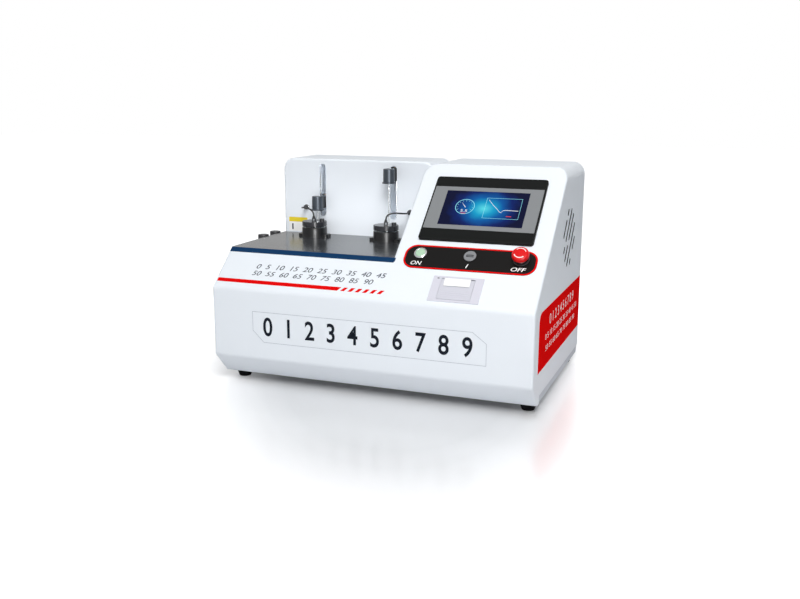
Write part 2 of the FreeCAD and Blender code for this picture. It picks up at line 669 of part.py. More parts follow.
def lead_route(side):
    x = STATION_X[side] + PROBE_DX
    y = WELL_Y + PROBE_DY
    z = LID_TOP + GLAND_HEIGHT
    plug = (PLUG_X[side], PLUG_TIP_Y, PLUG_Z[side])
    if side == "left":
        return [(x, y, z), (x, y, 265.7), (80.6, 225.1, 272.2), (72.6, 227.8, 274.1), (63.6, 233.2, 274.4),
                (54.6, 240.6, 273.6), (48.4, 249.6, 272.0), (46.6, 257.2, 271.0), plug]
    return [(x, y, z), (x, y, 265.0), (238.7, 226.4, 270.8), (245.8, 230.6, 272.8), (253.6, 236.6, 272.4),
            (260.4, 244.6, 271.0), (264.0, 254.8, 270.0), plug]


def cord_tube(name, points, diameter):
    """A round cord: straight runs joined by tangent arcs as large as the runs allow."""
    points = [Vector(*point) for point in points]
    radii = [0]
    for before, corner, after in zip(points, points[1:], points[2:]):
        turn = (corner - before).getAngle(after - corner)
        run = min((corner - before).Length, (after - corner).Length)
        radii.append(0.45 * run / math.tan(turn / 2))
    radii.append(0)
    path = Part.Wire(rounded_edges([tuple(point) for point in points], radii, False))
    start = (points[1] - points[0]).normalize()
    ring = Part.Wire(Part.makeCircle(diameter / 2, points[0], start))
    tube = path.makePipeShell([ring], True, True)
    straight = path.Length * math.pi * diameter ** 2 / 4
    print(name, "radii", [round(radius, 1) for radius in radii[1:-1]], "length", round(path.Length, 1),
          "volume ratio", round(tube.Volume / straight, 4))
    save(name, tube)


def make_leads():
    plugs = []
    sockets = []
    for side in STATION_X:
        cord_tube("probe_lead_" + side, lead_route(side), LEAD_DIAMETER)
        nose = 2.0
        socket = turned([(2.2, -8), (3.0, -8), (3.0, 0), (5.5, 0), (5.5, nose), (2.2, nose)],
                        [0, 0, 0, 0.3, 0.5, 0])
        plug_y = CABINET_Y - nose
        length = plug_y - PLUG_TIP_Y
        plug = turned([(0, 0), (4.6, 0), (4.6, 4.5), (3.6, 5.5), (3.0, length - 1), (1.9, length),
                       (0, length)], [0, 0.4, 0.6, 0.5, 1, 0.3, 0])
        for shape, group, y in ((socket, sockets, CABINET_Y), (plug, plugs, plug_y)):
            shape.rotate(Vector(0, 0, 0), Vector(1, 0, 0), 90)
            group.append(moved(shape, PLUG_X[side], y, PLUG_Z[side]))
    save("lead_plugs", *plugs)
    save("lead_sockets", *sockets)


# Stirrers and lifts

def make_lift(side, x):
    low = HEAD_LOW[side]
    y = WELL_Y + STIR_DY
    middle = low + HEAD_HEIGHT / 2
    lip_r = HEAD_R + 2.0
    lip_top = low + 2.6
    head = turned([(0, low), (lip_r, low), (lip_r, lip_top - 0.8), (HEAD_R, lip_top),
                   (HEAD_R, low + HEAD_HEIGHT), (0, low + HEAD_HEIGHT)], [0, 0.4, 0.4, 0, 1.2, 0])
    socket = rod((0, 0, low - 1), (0, 0, 1), STIR_ROD_R, 9)
    save("stir_head_" + side, moved(head.cut(socket), x, y, 0))

    bottom = low - STIR_ROD_LENGTH
    stem = rod((x, y, bottom), (0, 0, 1), STIR_ROD_R, STIR_ROD_LENGTH + 8)
    eye = rod((x, y, bottom - STIR_EYE / 2), (0, 0, 1), STIR_EYE_R, STIR_EYE)
    ring = Part.makeTorus(STIR_RING_R, STIR_ROD_R, Vector(x, y - STIR_RING_R, bottom))
    save("stir_rod_" + side, eye.fuse([stem, ring]))

    half = CARRIAGE_WIDTH / 2
    low_z = middle - ARM_HEIGHT / 2
    high_z = middle + ARM_HEIGHT / 2
    front = LIFT_Y - CARRIAGE_DEPTH / 2
    body = block(x - half, x + half, front, front + CARRIAGE_DEPTH, low_z, high_z)
    arm = block(x - ARM_WIDTH / 2, x + ARM_WIDTH / 2, y, front + 1, low_z, high_z)
    arm = arm.makeFillet(1.5, [edge for edge in arm.Edges if edge.BoundBox.YLength > 20])
    carriage = body.fuse(arm).cut(rod((x, y, low_z - 5), (0, 0, 1), HEAD_R, 60))
    carriage = carriage.cut(rod((x, y, low - 1), (0, 0, 1), lip_r + 0.05, lip_top - low + 1.05))
    for dx in (-GUIDE_DX, GUIDE_DX):
        carriage = carriage.cut(rod((x + dx, LIFT_Y, low_z - 1), (0, 0, 1), GUIDE_R + RUNNING_FIT, 60))
    carriage = carriage.cut(rod((x, LIFT_Y, low_z - 1), (0, 0, 1), NUT_R, 60))
    save("lift_carriage_" + side, carriage)
    nut = rod((x, LIFT_Y, low_z), (0, 0, 1), NUT_R, ARM_HEIGHT)
    nut = nut.cut(rod((x, LIFT_Y, low_z - 1), (0, 0, 1), SCREW_R + RUNNING_FIT, 60))
    save("lift_nut_" + side, nut)

    shaft_top = MOTOR_TOP - 12
    screw = turned([(0, shaft_top), (2.5, shaft_top), (2.5, MOTOR_TOP + 6), (9, MOTOR_TOP + 6),
                    (9, STAND_LOW_Z - 6), (SCREW_R, STAND_LOW_Z - 6), (SCREW_R, STAND_TOP_Z + 3),
                    (0, STAND_TOP_Z + 3)], [0, 0.4, 0, 0.5, 0.5, 0, 0.6, 0])
    save("lift_screw_" + side, moved(screw, x, LIFT_Y, 0))


def make_lift_stands():
    stands = []
    rods = []
    motors = []
    flange_front = LIFT_Y - 15
    back = STAND_BACK_Y + STAND_PLATE
    half = STAND_WIDTH / 2
    shelves = ((MOTOR_TOP, 4), (STAND_LOW_Z, 5), (STAND_TOP_Z, 5))
    for x in STATION_X.values():
        pieces = [block(x - half, x + half, STAND_BACK_Y, back, SHEET, STAND_TOP_Z + 5),
                  block(x - half, x + half, STAND_BACK_Y - 30, back, SHEET, SHEET + 4)]
        for low, thick in shelves:
            pieces.append(block(x - half, x + half, flange_front, back, low, low + thick))
        stand = merged(pieces)
        stand = stand.cut(rod((x, LIFT_Y, STAND_LOW_Z - 1), (0, 0, 1), SCREW_R + RUNNING_FIT, 8))
        stand = stand.cut(rod((x, LIFT_Y, STAND_TOP_Z - 1), (0, 0, 1), SCREW_R + RUNNING_FIT, 4.5))
        stand = stand.cut(rod((x, LIFT_Y, MOTOR_TOP - 1), (0, 0, 1), 11.0, 8))
        stands.append(stand)
        for dx in (-GUIDE_DX, GUIDE_DX):
            foot = STAND_LOW_Z + 5
            rods.append(rod((x + dx, LIFT_Y, foot), (0, 0, 1), GUIDE_R, STAND_TOP_Z - foot))
        motor = plate(rectangle(MOTOR_SIDE, MOTOR_SIDE), 4, MOTOR_TOP - MOTOR_HEIGHT, MOTOR_TOP)
        motor = motor.fuse(rod((0, 0, MOTOR_TOP - 1), (0, 0, 1), 10.7, 3))
        motor = motor.cut(rod((0, 0, MOTOR_TOP - 14), (0, 0, 1), 2.5 + RUNNING_FIT, 20))
        motors.append(moved(motor, x, LIFT_Y, 0))
    save("lift_stands", *stands)
    save("guide_rods", *rods)
    save("lift_motors", *motors)


# Cooling

def make_cooling():
    wells = []
    foams = []
    modules = []
    sinks = []
    half = BLOCK_SIDE / 2
    for x in STATION_X.values():
        well = block(x - half, x + half, WELL_Y - half, WELL_Y + half, BLOCK_BOTTOM, BLOCK_TOP)
        well = well.cut(rod((x, WELL_Y, TUBE_BOTTOM - 1), (0, 0, 1), TUBE_R + TUBE_GAP, 200))
        wells.append(well)
        wide = half + FOAM
        foam = block(x - wide, x + wide, WELL_Y - half, WELL_Y + wide, SHEET, BLOCK_TOP)
        foam = foam.cut(block(x - half, x + half, WELL_Y - half - 1, WELL_Y + half, BLOCK_BOTTOM, 400))
        foams.append(foam)
        front = WELL_Y - half
        for z in (118, 168):
            modules.append(block(x - 20, x + 20, front - 4, front, z - 20, z + 20))
        base = block(x - 40, x + 40, front - 10, front - 4, 90, 200)
        fins = [block(x - 40, x + 40, front - 42, front - 9, z, z + 1.2) for z in range(91, 200, 6)]
        sinks.append(merged([base] + fins))
    save("cold_wells", *wells)
    save("well_insulation", *foams)
    save("peltier_modules", *modules)
    save("heat_sinks", *sinks)

    right = WIDTH - SHEET
    left = right - FAN_DEPTH
    bore = rod((0, 0, -1), (0, 0, 1), FAN_SIDE / 2 - 1.5, FAN_DEPTH + 2)
    frame = plate(rectangle(FAN_SIDE, FAN_SIDE), 6, 0, FAN_DEPTH).cut(bore)
    for x in (-1, 1):
        for y in (-1, 1):
            frame = frame.cut(rod((x * 52.5, y * 52.5, -1), (0, 0, 1), 2.2, FAN_DEPTH + 2))
    struts = [rod((0, 0, 0), (0, 0, 1), 19, 5), rod((0, 0, 0), (0, 0, 1), 3.0, 17)]
    for angle in (0, 120, 240):
        strut = block(15, FAN_SIDE / 2 - 1, -2, 2, 0, 3)
        strut.rotate(Vector(0, 0, 0), Vector(0, 0, 1), angle + 45)
        struts.append(strut)
    frame = merged([frame] + struts)
    hub = rod((0, 0, 6), (0, 0, 1), 20, 17).cut(rod((0, 0, 5), (0, 0, 1), 3.0 + RUNNING_FIT, 13))
    blades = []
    for index in range(7):
        blade = block(18, 56, -1, 1, -13, 13)
        blade.rotate(Vector(0, 0, 0), Vector(1, 0, 0), 52)
        blade.translate(Vector(0, 0, 14.5))
        blade.rotate(Vector(0, 0, 0), Vector(0, 0, 1), index * 360 / 7)
        blades.append(blade)
    rotor = merged([hub] + blades)
    for name, shape in (("fan_frame", frame), ("fan_rotor", rotor)):
        shape.rotate(Vector(0, 0, 0), Vector(0, 1, 0), 90)
        save(name, moved(shape, left, VENT_Y, VENT_Z))


# Electrical pieces

def make_electrics():
    casing = block(330, 529, 70, 168, SHEET + 4, SHEET + 42)
    casing = casing.makeFillet(2, [edge for edge in casing.Edges if edge.BoundBox.ZLength > 30])
    rails = [block(340, 352, 70, 168, SHEET, SHEET + 4), block(507, 519, 70, 168, SHEET, SHEET + 4)]
    terminals = block(340, 412, 168, 180, SHEET + 6, SHEET + 20)
    save("power_supply", casing, rails[0], rails[1], terminals)

    posts = []
    for x in (345, 495):
        for y in (235, 335):
            posts.append(rod((x, y, SHEET), (0, 0, 1), 3.5, 10))
    board = block(340, 500, 230, 340, SHEET + 10, SHEET + 11.6)
    top = SHEET + 11.6
    chips = [block(390, 410, 270, 290, top, top + 2.2), block(430, 444, 270, 284, top, top + 1.8)]
    plugs = [block(350 + k * 26, 368 + k * 26, 318, 328, top, top + 10) for k in range(5)]
    cans = [rod((460 + k * 14, 250, top), (0, 0, 1), 5, 14) for k in range(2)]
    save("control_board", board, *(posts + chips + plugs + cans))

    front = DEPTH
    inlet = block(INLET_X - 13.7, INLET_X + 13.7, front - 28, front, INLET_Z - 22.5, INLET_Z + 22.5)
    face = plate(rectangle(31, 50), 3, 0, REAR_REACH)
    face = face.makeFillet(0.8, [edge for edge in face.Edges if edge.BoundBox.ZMin > REAR_REACH - 0.01])
    face.rotate(Vector(0, 0, 0), Vector(1, 0, 0), -90)
    inlet = inlet.fuse(moved(face, INLET_X, front, INLET_Z))
    recess_z = INLET_Z - 8
    recess = block(INLET_X - 12, INLET_X + 12, front - 14, front + 4, recess_z - 8.2, recess_z + 8.2)
    recess = recess.makeChamfer(4, [edge for edge in recess.Edges
                                    if edge.BoundBox.YLength > 10 and edge.BoundBox.ZMax < recess_z])
    drawer_z = INLET_Z + 14
    well = block(INLET_X - 11, INLET_X + 11, front - 22, front + 4, drawer_z - 5, drawer_z + 5)
    pins = []
    for dx, dz in ((-7, -1), (0, 3), (7, -1)):
        x = INLET_X + dx
        z = recess_z + dz
        pins.append(block(x - 1, x + 1, front - 16, front - 4, z - 2, z + 2))
    inlet = inlet.cut([recess, well])
    save("mains_inlet", merged([inlet] + pins))
    drawer = block(INLET_X - 10.7, INLET_X + 10.7, front - 20, front + REAR_REACH - 0.6,
                   drawer_z - 4.7, drawer_z + 4.7)
    for x in (INLET_X - 6, INLET_X + 1):
        drawer = drawer.cut(block(x, x + 5.4, front - 21, front - 2, drawer_z - 3, drawer_z + 5))
    save("fuse_drawer", drawer)


# Coolant fillers at the left side

def make_fillers():
    necks = []
    for name, y in CAP_Y.items():
        x = CAP_CENTRE_X
        low = CAP_TOP - CAP_HEIGHT
        cup = turned([(4, NECK_Z - 3), (4, CAP_TOP - 4), (6.5, CAP_TOP - 4), (6.5, low - 1), (8.5, low - 3),
                      (8.5, NECK_Z - 10), (0, NECK_Z - 12), (0, NECK_Z - 3)], [0, 0, 0.4, 0, 0, 3, 0, 0])
        elbow = rod((x + 4.5, y, NECK_Z), (1, 0, 0), 5.0, -x - 4.5 + 8)
        wall_ring = rod((LEFT_X - 1.1, y, NECK_Z), (1, 0, 0), 7.5, 1.1)
        nut = rod((LEFT_X + SHEET, y, NECK_Z), (1, 0, 0), 8.5, 4)
        bore = rod((x, y, NECK_Z), (1, 0, 0), 3.0, -x + 20)
        necks.append(merged([moved(cup, x, y, 0), elbow, wall_ring, nut]).cut(bore))
        cap = turned([(6.9, low), (CAP_R, low), (CAP_R, CAP_TOP), (0, CAP_TOP), (0, CAP_TOP - 3.8),
                      (6.9, CAP_TOP - 3.8)], [0.3, 0.5, 1.2, 0, 0, 0])
        for step in range(24):
            angle = step * 15.0
            groove = rod((CAP_R + 0.55, 0, low + 1), (0, 0, 1), 0.9, CAP_HEIGHT - 4)
            groove.rotate(Vector(0, 0, 0), Vector(0, 0, 1), angle)
            cap = cap.cut(groove)
        save("filler_cap_" + name, moved(cap, x, y, 0))
    save("filler_necks", *necks)


# Thin printed vinyl: side panel, stripe and dashes, front frame line, sticker

def make_labels():
    pieces = []
    low, high, corner = 54.0, 151.7, 18.0
    outline = [(WIDTH, 31.7, low), (WIDTH, DEPTH - 2, low), (WIDTH, DEPTH - 2, high),
               (WIDTH, 31.7 + corner, high), (WIDTH, 31.7, high - corner)]
    pieces.append(outline_face(outline, 1.0).extrude(Vector(LABEL, 0, 0)))

    lean = 5.5
    stripe_low, stripe_high = 12.8, 20.5

    def band(start, end, start_lean):
        corners = [(start, stripe_low), (end, stripe_low), (end + lean, stripe_high),
                   (start + start_lean, stripe_high)]
        return on_slope(plate(corners, 0, 0, LABEL), 0, 0)

    pieces.append(band(LEFT_X + EDGE_R, 240.0, 0))
    for step in range(6):
        pieces.append(band(247.5 + step * 12.5, 254.5 + step * 12.5, lean))

    line = 0.9
    left, right, bottom, top = 75.5, 494.0, 68.0, 122.0
    outer = [(left + 21, bottom), (right, bottom), (right, top - 17.5), (right - 23.5, top), (left, top),
             (left, bottom + 20)]
    inner = [(left + 21 + 0.4, bottom + line), (right - line, bottom + line), (right - line, top - 17.9),
             (right - 23.9, top - line), (left + line, top - line), (left + line, bottom + 20.4)]
    frame = plate(outer, 0, 0, LABEL).cut(plate(inner, 0, -1, 1))
    frame.rotate(Vector(0, 0, 0), Vector(1, 0, 0), 90)
    pieces.append(frame)

    sticker = block(6.5, 47, CABINET_Y - LABEL, CABINET_Y, 222, 249.5)
    pieces.append(sticker)
    save("vinyl_labels", *pieces)


make_main_housing()
make_lift_cabinet()
make_deck()
make_back()
make_base_and_feet()
make_touch_panel()
make_control_row()
make_printer()
make_stations()
for station, centre_x in STATION_X.items():
    make_lift(station, centre_x)
make_leads()
make_lift_stands()
make_cooling()
make_electrics()
make_fillers()
make_labels()
print(len(os.listdir("parts")), "nodes")
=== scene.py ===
# %% [markdown]
# A crystallization point tester is a bench-top laboratory instrument. It cools two glass tubes of
# liquid, stirs them slowly, and notes the temperature at which crystals form. This script dresses
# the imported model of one: the solids come in as a fixed frame, each gets its finish, and smaller
# pieces such as leads, labels and the screen's picture are added on top.

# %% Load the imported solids
import json
import math

import bmesh
import bpy
from mathutils import Matrix, Vector


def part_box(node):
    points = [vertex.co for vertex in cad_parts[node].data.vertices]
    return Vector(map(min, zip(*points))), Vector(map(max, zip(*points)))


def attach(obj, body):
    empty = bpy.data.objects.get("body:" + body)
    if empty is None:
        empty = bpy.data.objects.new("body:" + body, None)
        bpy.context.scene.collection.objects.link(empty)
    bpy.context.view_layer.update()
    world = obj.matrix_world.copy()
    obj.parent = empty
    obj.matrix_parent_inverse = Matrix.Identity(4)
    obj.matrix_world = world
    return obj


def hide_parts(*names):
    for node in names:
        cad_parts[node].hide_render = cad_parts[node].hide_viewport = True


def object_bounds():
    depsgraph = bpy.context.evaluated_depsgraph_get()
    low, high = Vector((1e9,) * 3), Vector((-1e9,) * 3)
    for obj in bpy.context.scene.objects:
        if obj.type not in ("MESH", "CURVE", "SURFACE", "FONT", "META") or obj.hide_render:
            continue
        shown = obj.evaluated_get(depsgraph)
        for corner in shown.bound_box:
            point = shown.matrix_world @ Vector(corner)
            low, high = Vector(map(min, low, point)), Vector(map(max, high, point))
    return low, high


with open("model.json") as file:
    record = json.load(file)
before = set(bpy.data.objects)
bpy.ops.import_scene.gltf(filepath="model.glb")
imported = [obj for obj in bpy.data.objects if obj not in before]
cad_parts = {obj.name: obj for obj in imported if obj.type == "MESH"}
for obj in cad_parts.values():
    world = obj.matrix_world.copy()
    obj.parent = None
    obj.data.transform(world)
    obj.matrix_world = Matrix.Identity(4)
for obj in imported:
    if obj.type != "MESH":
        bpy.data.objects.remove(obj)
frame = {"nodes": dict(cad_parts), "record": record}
solid_low, solid_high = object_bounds()
nodes = frame["nodes"]

# %% [markdown]
# A maker measures the instrument in millimetres: x across, y to the back, z up. The start is near
# the lower left front corner of the housing, whose side stands 3 mm farther out. Blender works in
# metres. Each new piece is therefore drawn in millimetres about its own middle, and one matrix
# scales it and carries it to its place.

# %% Places on the instrument
MM = 0.001
SIDE_OVERHANG = 3.0
CORNER, FAR_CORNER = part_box("main_housing")
CORNER.x += SIDE_OVERHANG * MM
HOUSING_WIDTH = (FAR_CORNER.x - CORNER.x) / MM
SLOPE_FOOT_Z = 159.9
SLOPE_RISE, SLOPE_RUN = 206.4, 233.6
SLOPE_TURN = Matrix.Rotation(math.atan2(SLOPE_RISE, SLOPE_RUN), 4, "X")
UPRIGHT = Matrix.Rotation(math.radians(90), 4, "X")
FACING_RIGHT = Matrix(((0, 0, 1, 0), (1, 0, 0, 0), (0, 1, 0, 0), (0, 0, 0, 1)))
CABINET_Y = 275.9


def at(x, y, z):
    """A point of the instrument, given in millimetres from the housing's corner."""
    return CORNER + Vector((x, y, z)) * MM


def placed(point, turn=Matrix.Identity(4)):
    return Matrix.Translation(point) @ turn @ Matrix.Scale(MM, 4)


def on_slope(u, v, lift=0.0):
    """A place on the sloped face: u across, v up the slope from its foot, lift away from it."""
    foot = Matrix.Translation(at(0, 0, SLOPE_FOOT_Z)) @ SLOPE_TURN
    return foot @ Matrix.Translation(Vector((u, v, lift)) * MM) @ Matrix.Scale(MM, 4)


print("housing", round(HOUSING_WIDTH, 1), "mm wide; slope foot at", at(0, 0, SLOPE_FOOT_Z))

# %% [markdown]
# The photograph was taken from the front, a little to the right and above. The camera's place and
# lens were worked out from the housing's corners. A camera looks down its own z axis, so it is
# tipped up from looking at the ground, turned to the left, and rolled by a fraction of a degree.

# %% Camera
CAMERA_YAW = 20.777
CAMERA_PITCH = 12.474
CAMERA_ROLL = 0.183
LENS, SENSOR = 41.664, 36.0
CAMERA_POINT = (865.4, -1363.7, 487.4)
camera_data = bpy.data.cameras.new("camera")
camera_data.sensor_width = SENSOR
camera_data.lens = LENS
camera = bpy.data.objects.new("camera", camera_data)
camera.matrix_world = (
    Matrix.Translation(at(*CAMERA_POINT))
    @ Matrix.Rotation(math.radians(CAMERA_YAW), 4, "Z")
    @ Matrix.Rotation(math.radians(90 - CAMERA_PITCH), 4, "X")
    @ Matrix.Rotation(math.radians(CAMERA_ROLL), 4, "Z")
)
bpy.context.scene.collection.objects.link(camera)
bpy.context.scene.camera = camera
print("camera at", camera.matrix_world.translation)

# %% [markdown]
# A finish is a small network of shader nodes. Its sums are easier to read as Python sums, so one
# class wraps a node's output and gives it the signs + - * / and **. Its method "node" adds any node:
# first the settings, then the values or links of the sockets. Its method "sum" adds a Math node.

# %% A wire that can be added, multiplied and mixed
class Wire:
    """One output of a shader node, or the empty start of a new network."""

    def __init__(self, tree, socket=None):
        self.tree = tree
        self.socket = socket

    def node(self, kind, settings=None, inputs=None, output=0):
        made = self.tree.nodes.new("ShaderNode" + kind)
        for name, value in (settings or {}).items():
            if name == "stops":
                ramp = made.color_ramp
                ramp.elements[0].position, ramp.elements[0].color = value[0]
                ramp.elements[1].position, ramp.elements[1].color = value[-1]
                for place, colour in value[1:-1]:
                    ramp.elements.new(place).color = colour
            else:
                setattr(made, name, value)
        for name, value in (inputs or {}).items():
            if isinstance(value, Wire):
                self.tree.links.new(value.socket, made.inputs[name])
            else:
                made.inputs[name].default_value = value
        return Wire(self.tree, made.outputs[output] if len(made.outputs) else None)

    def sum(self, operation, first, second=0.0):
        return self.node("Math", {"operation": operation}, {0: first, 1: second})

    def __add__(self, other):
        return self.sum("ADD", self, other)

    def __sub__(self, other):
        return self.sum("SUBTRACT", self, other)

    def __mul__(self, other):
        return self.sum("MULTIPLY", self, other)

    def __truediv__(self, other):
        return self.sum("DIVIDE", self, other)

    def __pow__(self, other):
        return self.sum("POWER", self, other)

    __radd__ = __add__


def colour(red, green, blue):
    """A colour as a screen shows it, 0 to 255, turned into the light values that shaders use."""
    values = []
    for amount in (red, green, blue):
        share = amount / 255
        values.append(share / 12.92 if share <= 0.04045 else ((share + 0.055) / 1.055) ** 2.4)
    return (*values, 1.0)


print("mid grey is", round(colour(128, 128, 128)[0], 3), "as light")

# %% [markdown]
# Real paint, plastic and metal are never one flat colour. Every finish here reads the object's own
# coordinates and has two noises: a broad one that shifts the shade slightly, and a fine one, as
# large as the grain of the real surface, that changes the gloss and feeds the bump.

# %% Finish with a soft shade change and a fine grain
def new_network(name):
    material = bpy.data.materials.new(name)
    material.use_nodes = True
    material.node_tree.nodes.clear()
    return material, Wire(material.node_tree)


def noise(start, size, vector, detail=2.0):
    """Noise whose lumps are about size millimetres across, from 0 to 1."""
    scale = 1.0 / (size * MM)
    return start.node("TexNoise", {}, {"Vector": vector, "Scale": scale, "Detail": detail})


def mix(start, factor, first, second):
    return start.node("Mix", {"data_type": "RGBA"}, {0: factor, 6: first, 7: second}, 2)


def tinted(base, share):
    return (*[min(1.0, value * share) for value in base[:3]], 1.0)


def output(start, surface):
    start.node("OutputMaterial", {}, {"Surface": surface})


def finish(name, base, rough, mottle=0.06, mottle_size=60.0, gloss_change=0.08, grain=1.0,
           dent=0.02, **fixed):
    """A surface of one stuff: dent is the grain's depth in millimetres, fixed sets plain sockets."""
    material, start = new_network(name)
    place = start.node("TexCoord", output=3)
    broad = noise(start, mottle_size, place)
    fine = noise(start, grain, place, 3.0)
    shade = mix(start, broad, tinted(base, 1 - mottle), tinted(base, 1 + mottle))
    sockets = {
        "Base Color": shade,
        "Roughness": rough + (fine - 0.5) * gloss_change,
        "Normal": start.node("Bump", {}, {"Strength": 0.6, "Distance": dent * MM, "Height": fine}),
    }
    sockets.update(fixed)
    output(start, start.node("BsdfPrincipled", {}, sockets))
    return material


powder_white = finish("powder_white", colour(239, 245, 252), 0.42, mottle=0.012, mottle_size=90,
                      grain=1.6, dent=0.012, **{"Specular IOR Level": 0.3})
panel_grey = finish("panel_grey", colour(205, 212, 222), 0.45, mottle=0.02, grain=1.4, dent=0.02)
print("first finishes", powder_white.name, panel_grey.name)

# %% [markdown]
# The remaining plastics, rubbers and coatings differ in colour, gloss and grain. They are set down
# as one list, so that a wrong gloss is easy to find and change. Each name is the slot that the
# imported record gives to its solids.

# %% Plastics, rubbers and coatings
FINISHES = {
    "white_paint": powder_white,
    "panel_grey": panel_grey,
    "deck_grey": finish("deck_grey", colour(40, 42, 45), 0.22, grain=0.9, dent=0.004,
                        gloss_change=0.05, **{"Specular IOR Level": 1.0}),
    "trim_blue": finish("trim_blue", colour(7, 52, 92), 0.36, mottle=0.03, grain=0.8, dent=0.006,
                        **{"Specular IOR Level": 0.1}),
    "rubber": finish("rubber", colour(24, 24, 26), 0.7, grain=0.6, dent=0.06, **{"IOR": 1.08}),
    "bezel_black": finish("bezel_black", colour(21, 22, 22), 0.42, mottle=0.04, grain=0.5,
                          dent=0.012, **{"Specular IOR Level": 0.1}),
    "film_grey": finish("film_black", colour(20, 22, 22), 0.3, mottle=0.03, grain=0.7, dent=0.004,
                        **{"Specular IOR Level": 0.1}),
    "dark_plastic": finish("dark_plastic", colour(42, 42, 45), 0.45, grain=0.7, dent=0.03),
    "label_black": finish("label_black", colour(19, 18, 18), 0.4, mottle=0.05, grain=0.6,
                          dent=0.01, **{"Specular IOR Level": 0.1}),
    "white_plastic": finish("white_plastic", colour(226, 226, 226), 0.4, mottle=0.02, grain=0.6),
    "printer_lilac": finish("printer_lilac", colour(214, 214, 226), 0.5, mottle=0.015, grain=0.7,
                            dent=0.03),
    "roller_rubber": finish("roller_rubber", colour(60, 60, 62), 0.65, grain=0.4, dent=0.03),
    "collar_black": finish("collar_black", colour(9, 10, 12), 0.34, mottle=0.08, grain=0.8,
                           dent=0.003, **{"Specular IOR Level": 0.65}),
    "lid_black": finish("lid_black", colour(36, 37, 41), 0.22, mottle=0.08, grain=0.7, dent=0.004),
    "arm_dark": finish("arm_dark", colour(58, 60, 64), 0.4, grain=0.6, dent=0.01,
                       **{"Metallic": 0.6}),
    "motor_black": finish("motor_black", colour(48, 48, 52), 0.5, grain=0.8, dent=0.03),
    "lead_black": finish("lead_black", colour(26, 27, 30), 0.38, grain=0.5, dent=0.01),
    "module_ceramic": finish("module_ceramic", colour(236, 236, 228), 0.55, grain=0.5, dent=0.01),
    "stop_red": finish("stop_red", colour(222, 5, 12), 0.3, mottle=0.04, grain=1.2, dent=0.006,
                       **{"Specular IOR Level": 0.25, "Coat Weight": 0.08}),
    "vinyl_red": finish("vinyl_red", colour(240, 6, 6), 0.6, mottle=0.02, grain=1.5, dent=0.008,
                        **{"IOR": 1.02}),
    "door_lilac": finish("door_lilac", colour(207, 208, 219), 0.5, mottle=0.015, grain=0.7,
                         dent=0.03),
    "socket_grey": finish("socket_grey", colour(132, 134, 138), 0.42, mottle=0.04, grain=0.6,
                          dent=0.02, **{"Metallic": 0.3}),
}
print("coatings", len(FINISHES))

# %% [markdown]
# Turned and drawn metal has fine lines along the way the tool went. The noise is squeezed along one
# direction, so that its lumps turn into streaks. Round parts take rings that lie across their axis.

# %% Metals
def metal(name, base, rough, streak=(1, 1, 30), dent=0.006, metallic=1.0):
    material, start = new_network(name)
    place = start.node("TexCoord", output=3)
    drawn = start.node("Mapping", {}, {"Vector": place, "Scale": streak})
    lines = noise(start, 6.0, drawn, 4.0)
    broad = noise(start, 30.0, place)
    shade = mix(start, broad, tinted(base, 0.9), tinted(base, 1.08))
    bump = start.node("Bump", {}, {"Strength": 0.5, "Distance": dent * MM, "Height": lines})
    sockets = {"Base Color": shade, "Metallic": metallic, "Roughness": rough + (lines - 0.5) * 0.18,
               "Normal": bump}
    output(start, start.node("BsdfPrincipled", {}, sockets))
    return material


FINISHES["screw_steel"] = metal("screw_steel", colour(205, 206, 208), 0.28)
FINISHES["bright_metal"] = metal("bright_metal", colour(214, 216, 218), 0.2)
FINISHES["probe_steel"] = metal("probe_steel", colour(205, 208, 210), 0.25)
FINISHES["mechanism_steel"] = metal("mechanism_steel", colour(168, 170, 175), 0.36, (30, 1, 1))
FINISHES["nut_brass"] = metal("nut_brass", colour(212, 172, 96), 0.3)
FINISHES["block_aluminium"] = metal("block_aluminium", colour(214, 216, 218), 0.34, (30, 1, 1))
FINISHES["supply_metal"] = metal("supply_metal", colour(196, 198, 202), 0.42, (1, 30, 1))
FINISHES["head_grey"] = metal("head_grey", colour(70, 77, 85), 0.38, (1, 1, 24), 0.01, 0.5)
print("with metals", len(FINISHES))

# %% [markdown]
# Some stuffs need their own network. Glass lets light through. Foam is full of small cells, which a
# Voronoi pattern gives. Paper shows short fibres, so its noise is stretched along one direction.

# %% Glass, foam and paper
def glass_finish():
    material, start = new_network("tube_glass")
    place = start.node("TexCoord", output=3)
    ripple = noise(start, 8.0, place)
    sockets = {"Base Color": colour(240, 250, 250), "Roughness": 0.02 + ripple * 0.03,
               "Transmission Weight": 1.0, "IOR": 1.47}
    output(start, start.node("BsdfPrincipled", {}, sockets))
    return material


def foam_finish():
    material, start = new_network("foam")
    place = start.node("TexCoord", output=3)
    cells = start.node("TexVoronoi", {}, {"Vector": place, "Scale": 1 / (1.6 * MM)})
    shade = mix(start, cells, colour(60, 60, 62), colour(96, 96, 98))
    bump = start.node("Bump", {}, {"Strength": 0.8, "Distance": 0.2 * MM, "Height": cells})
    sockets = {"Base Color": shade, "Roughness": 0.9, "Normal": bump}
    output(start, start.node("BsdfPrincipled", {}, sockets))
    return material


def paper_finish():
    material, start = new_network("paper")
    place = start.node("TexCoord", output=3)
    long_ways = start.node("Mapping", {}, {"Vector": place, "Scale": (1, 4, 4)})
    fibres = noise(start, 1.5, long_ways, 5.0)
    shade = mix(start, fibres, colour(247, 248, 248), colour(254, 254, 254))
    bump = start.node("Bump", {}, {"Strength": 0.4, "Distance": 0.02 * MM, "Height": fibres})
    sockets = {"Base Color": shade, "Roughness": 0.75 + fibres * 0.1, "Normal": bump}
    output(start, start.node("BsdfPrincipled", {}, sockets))
    return material


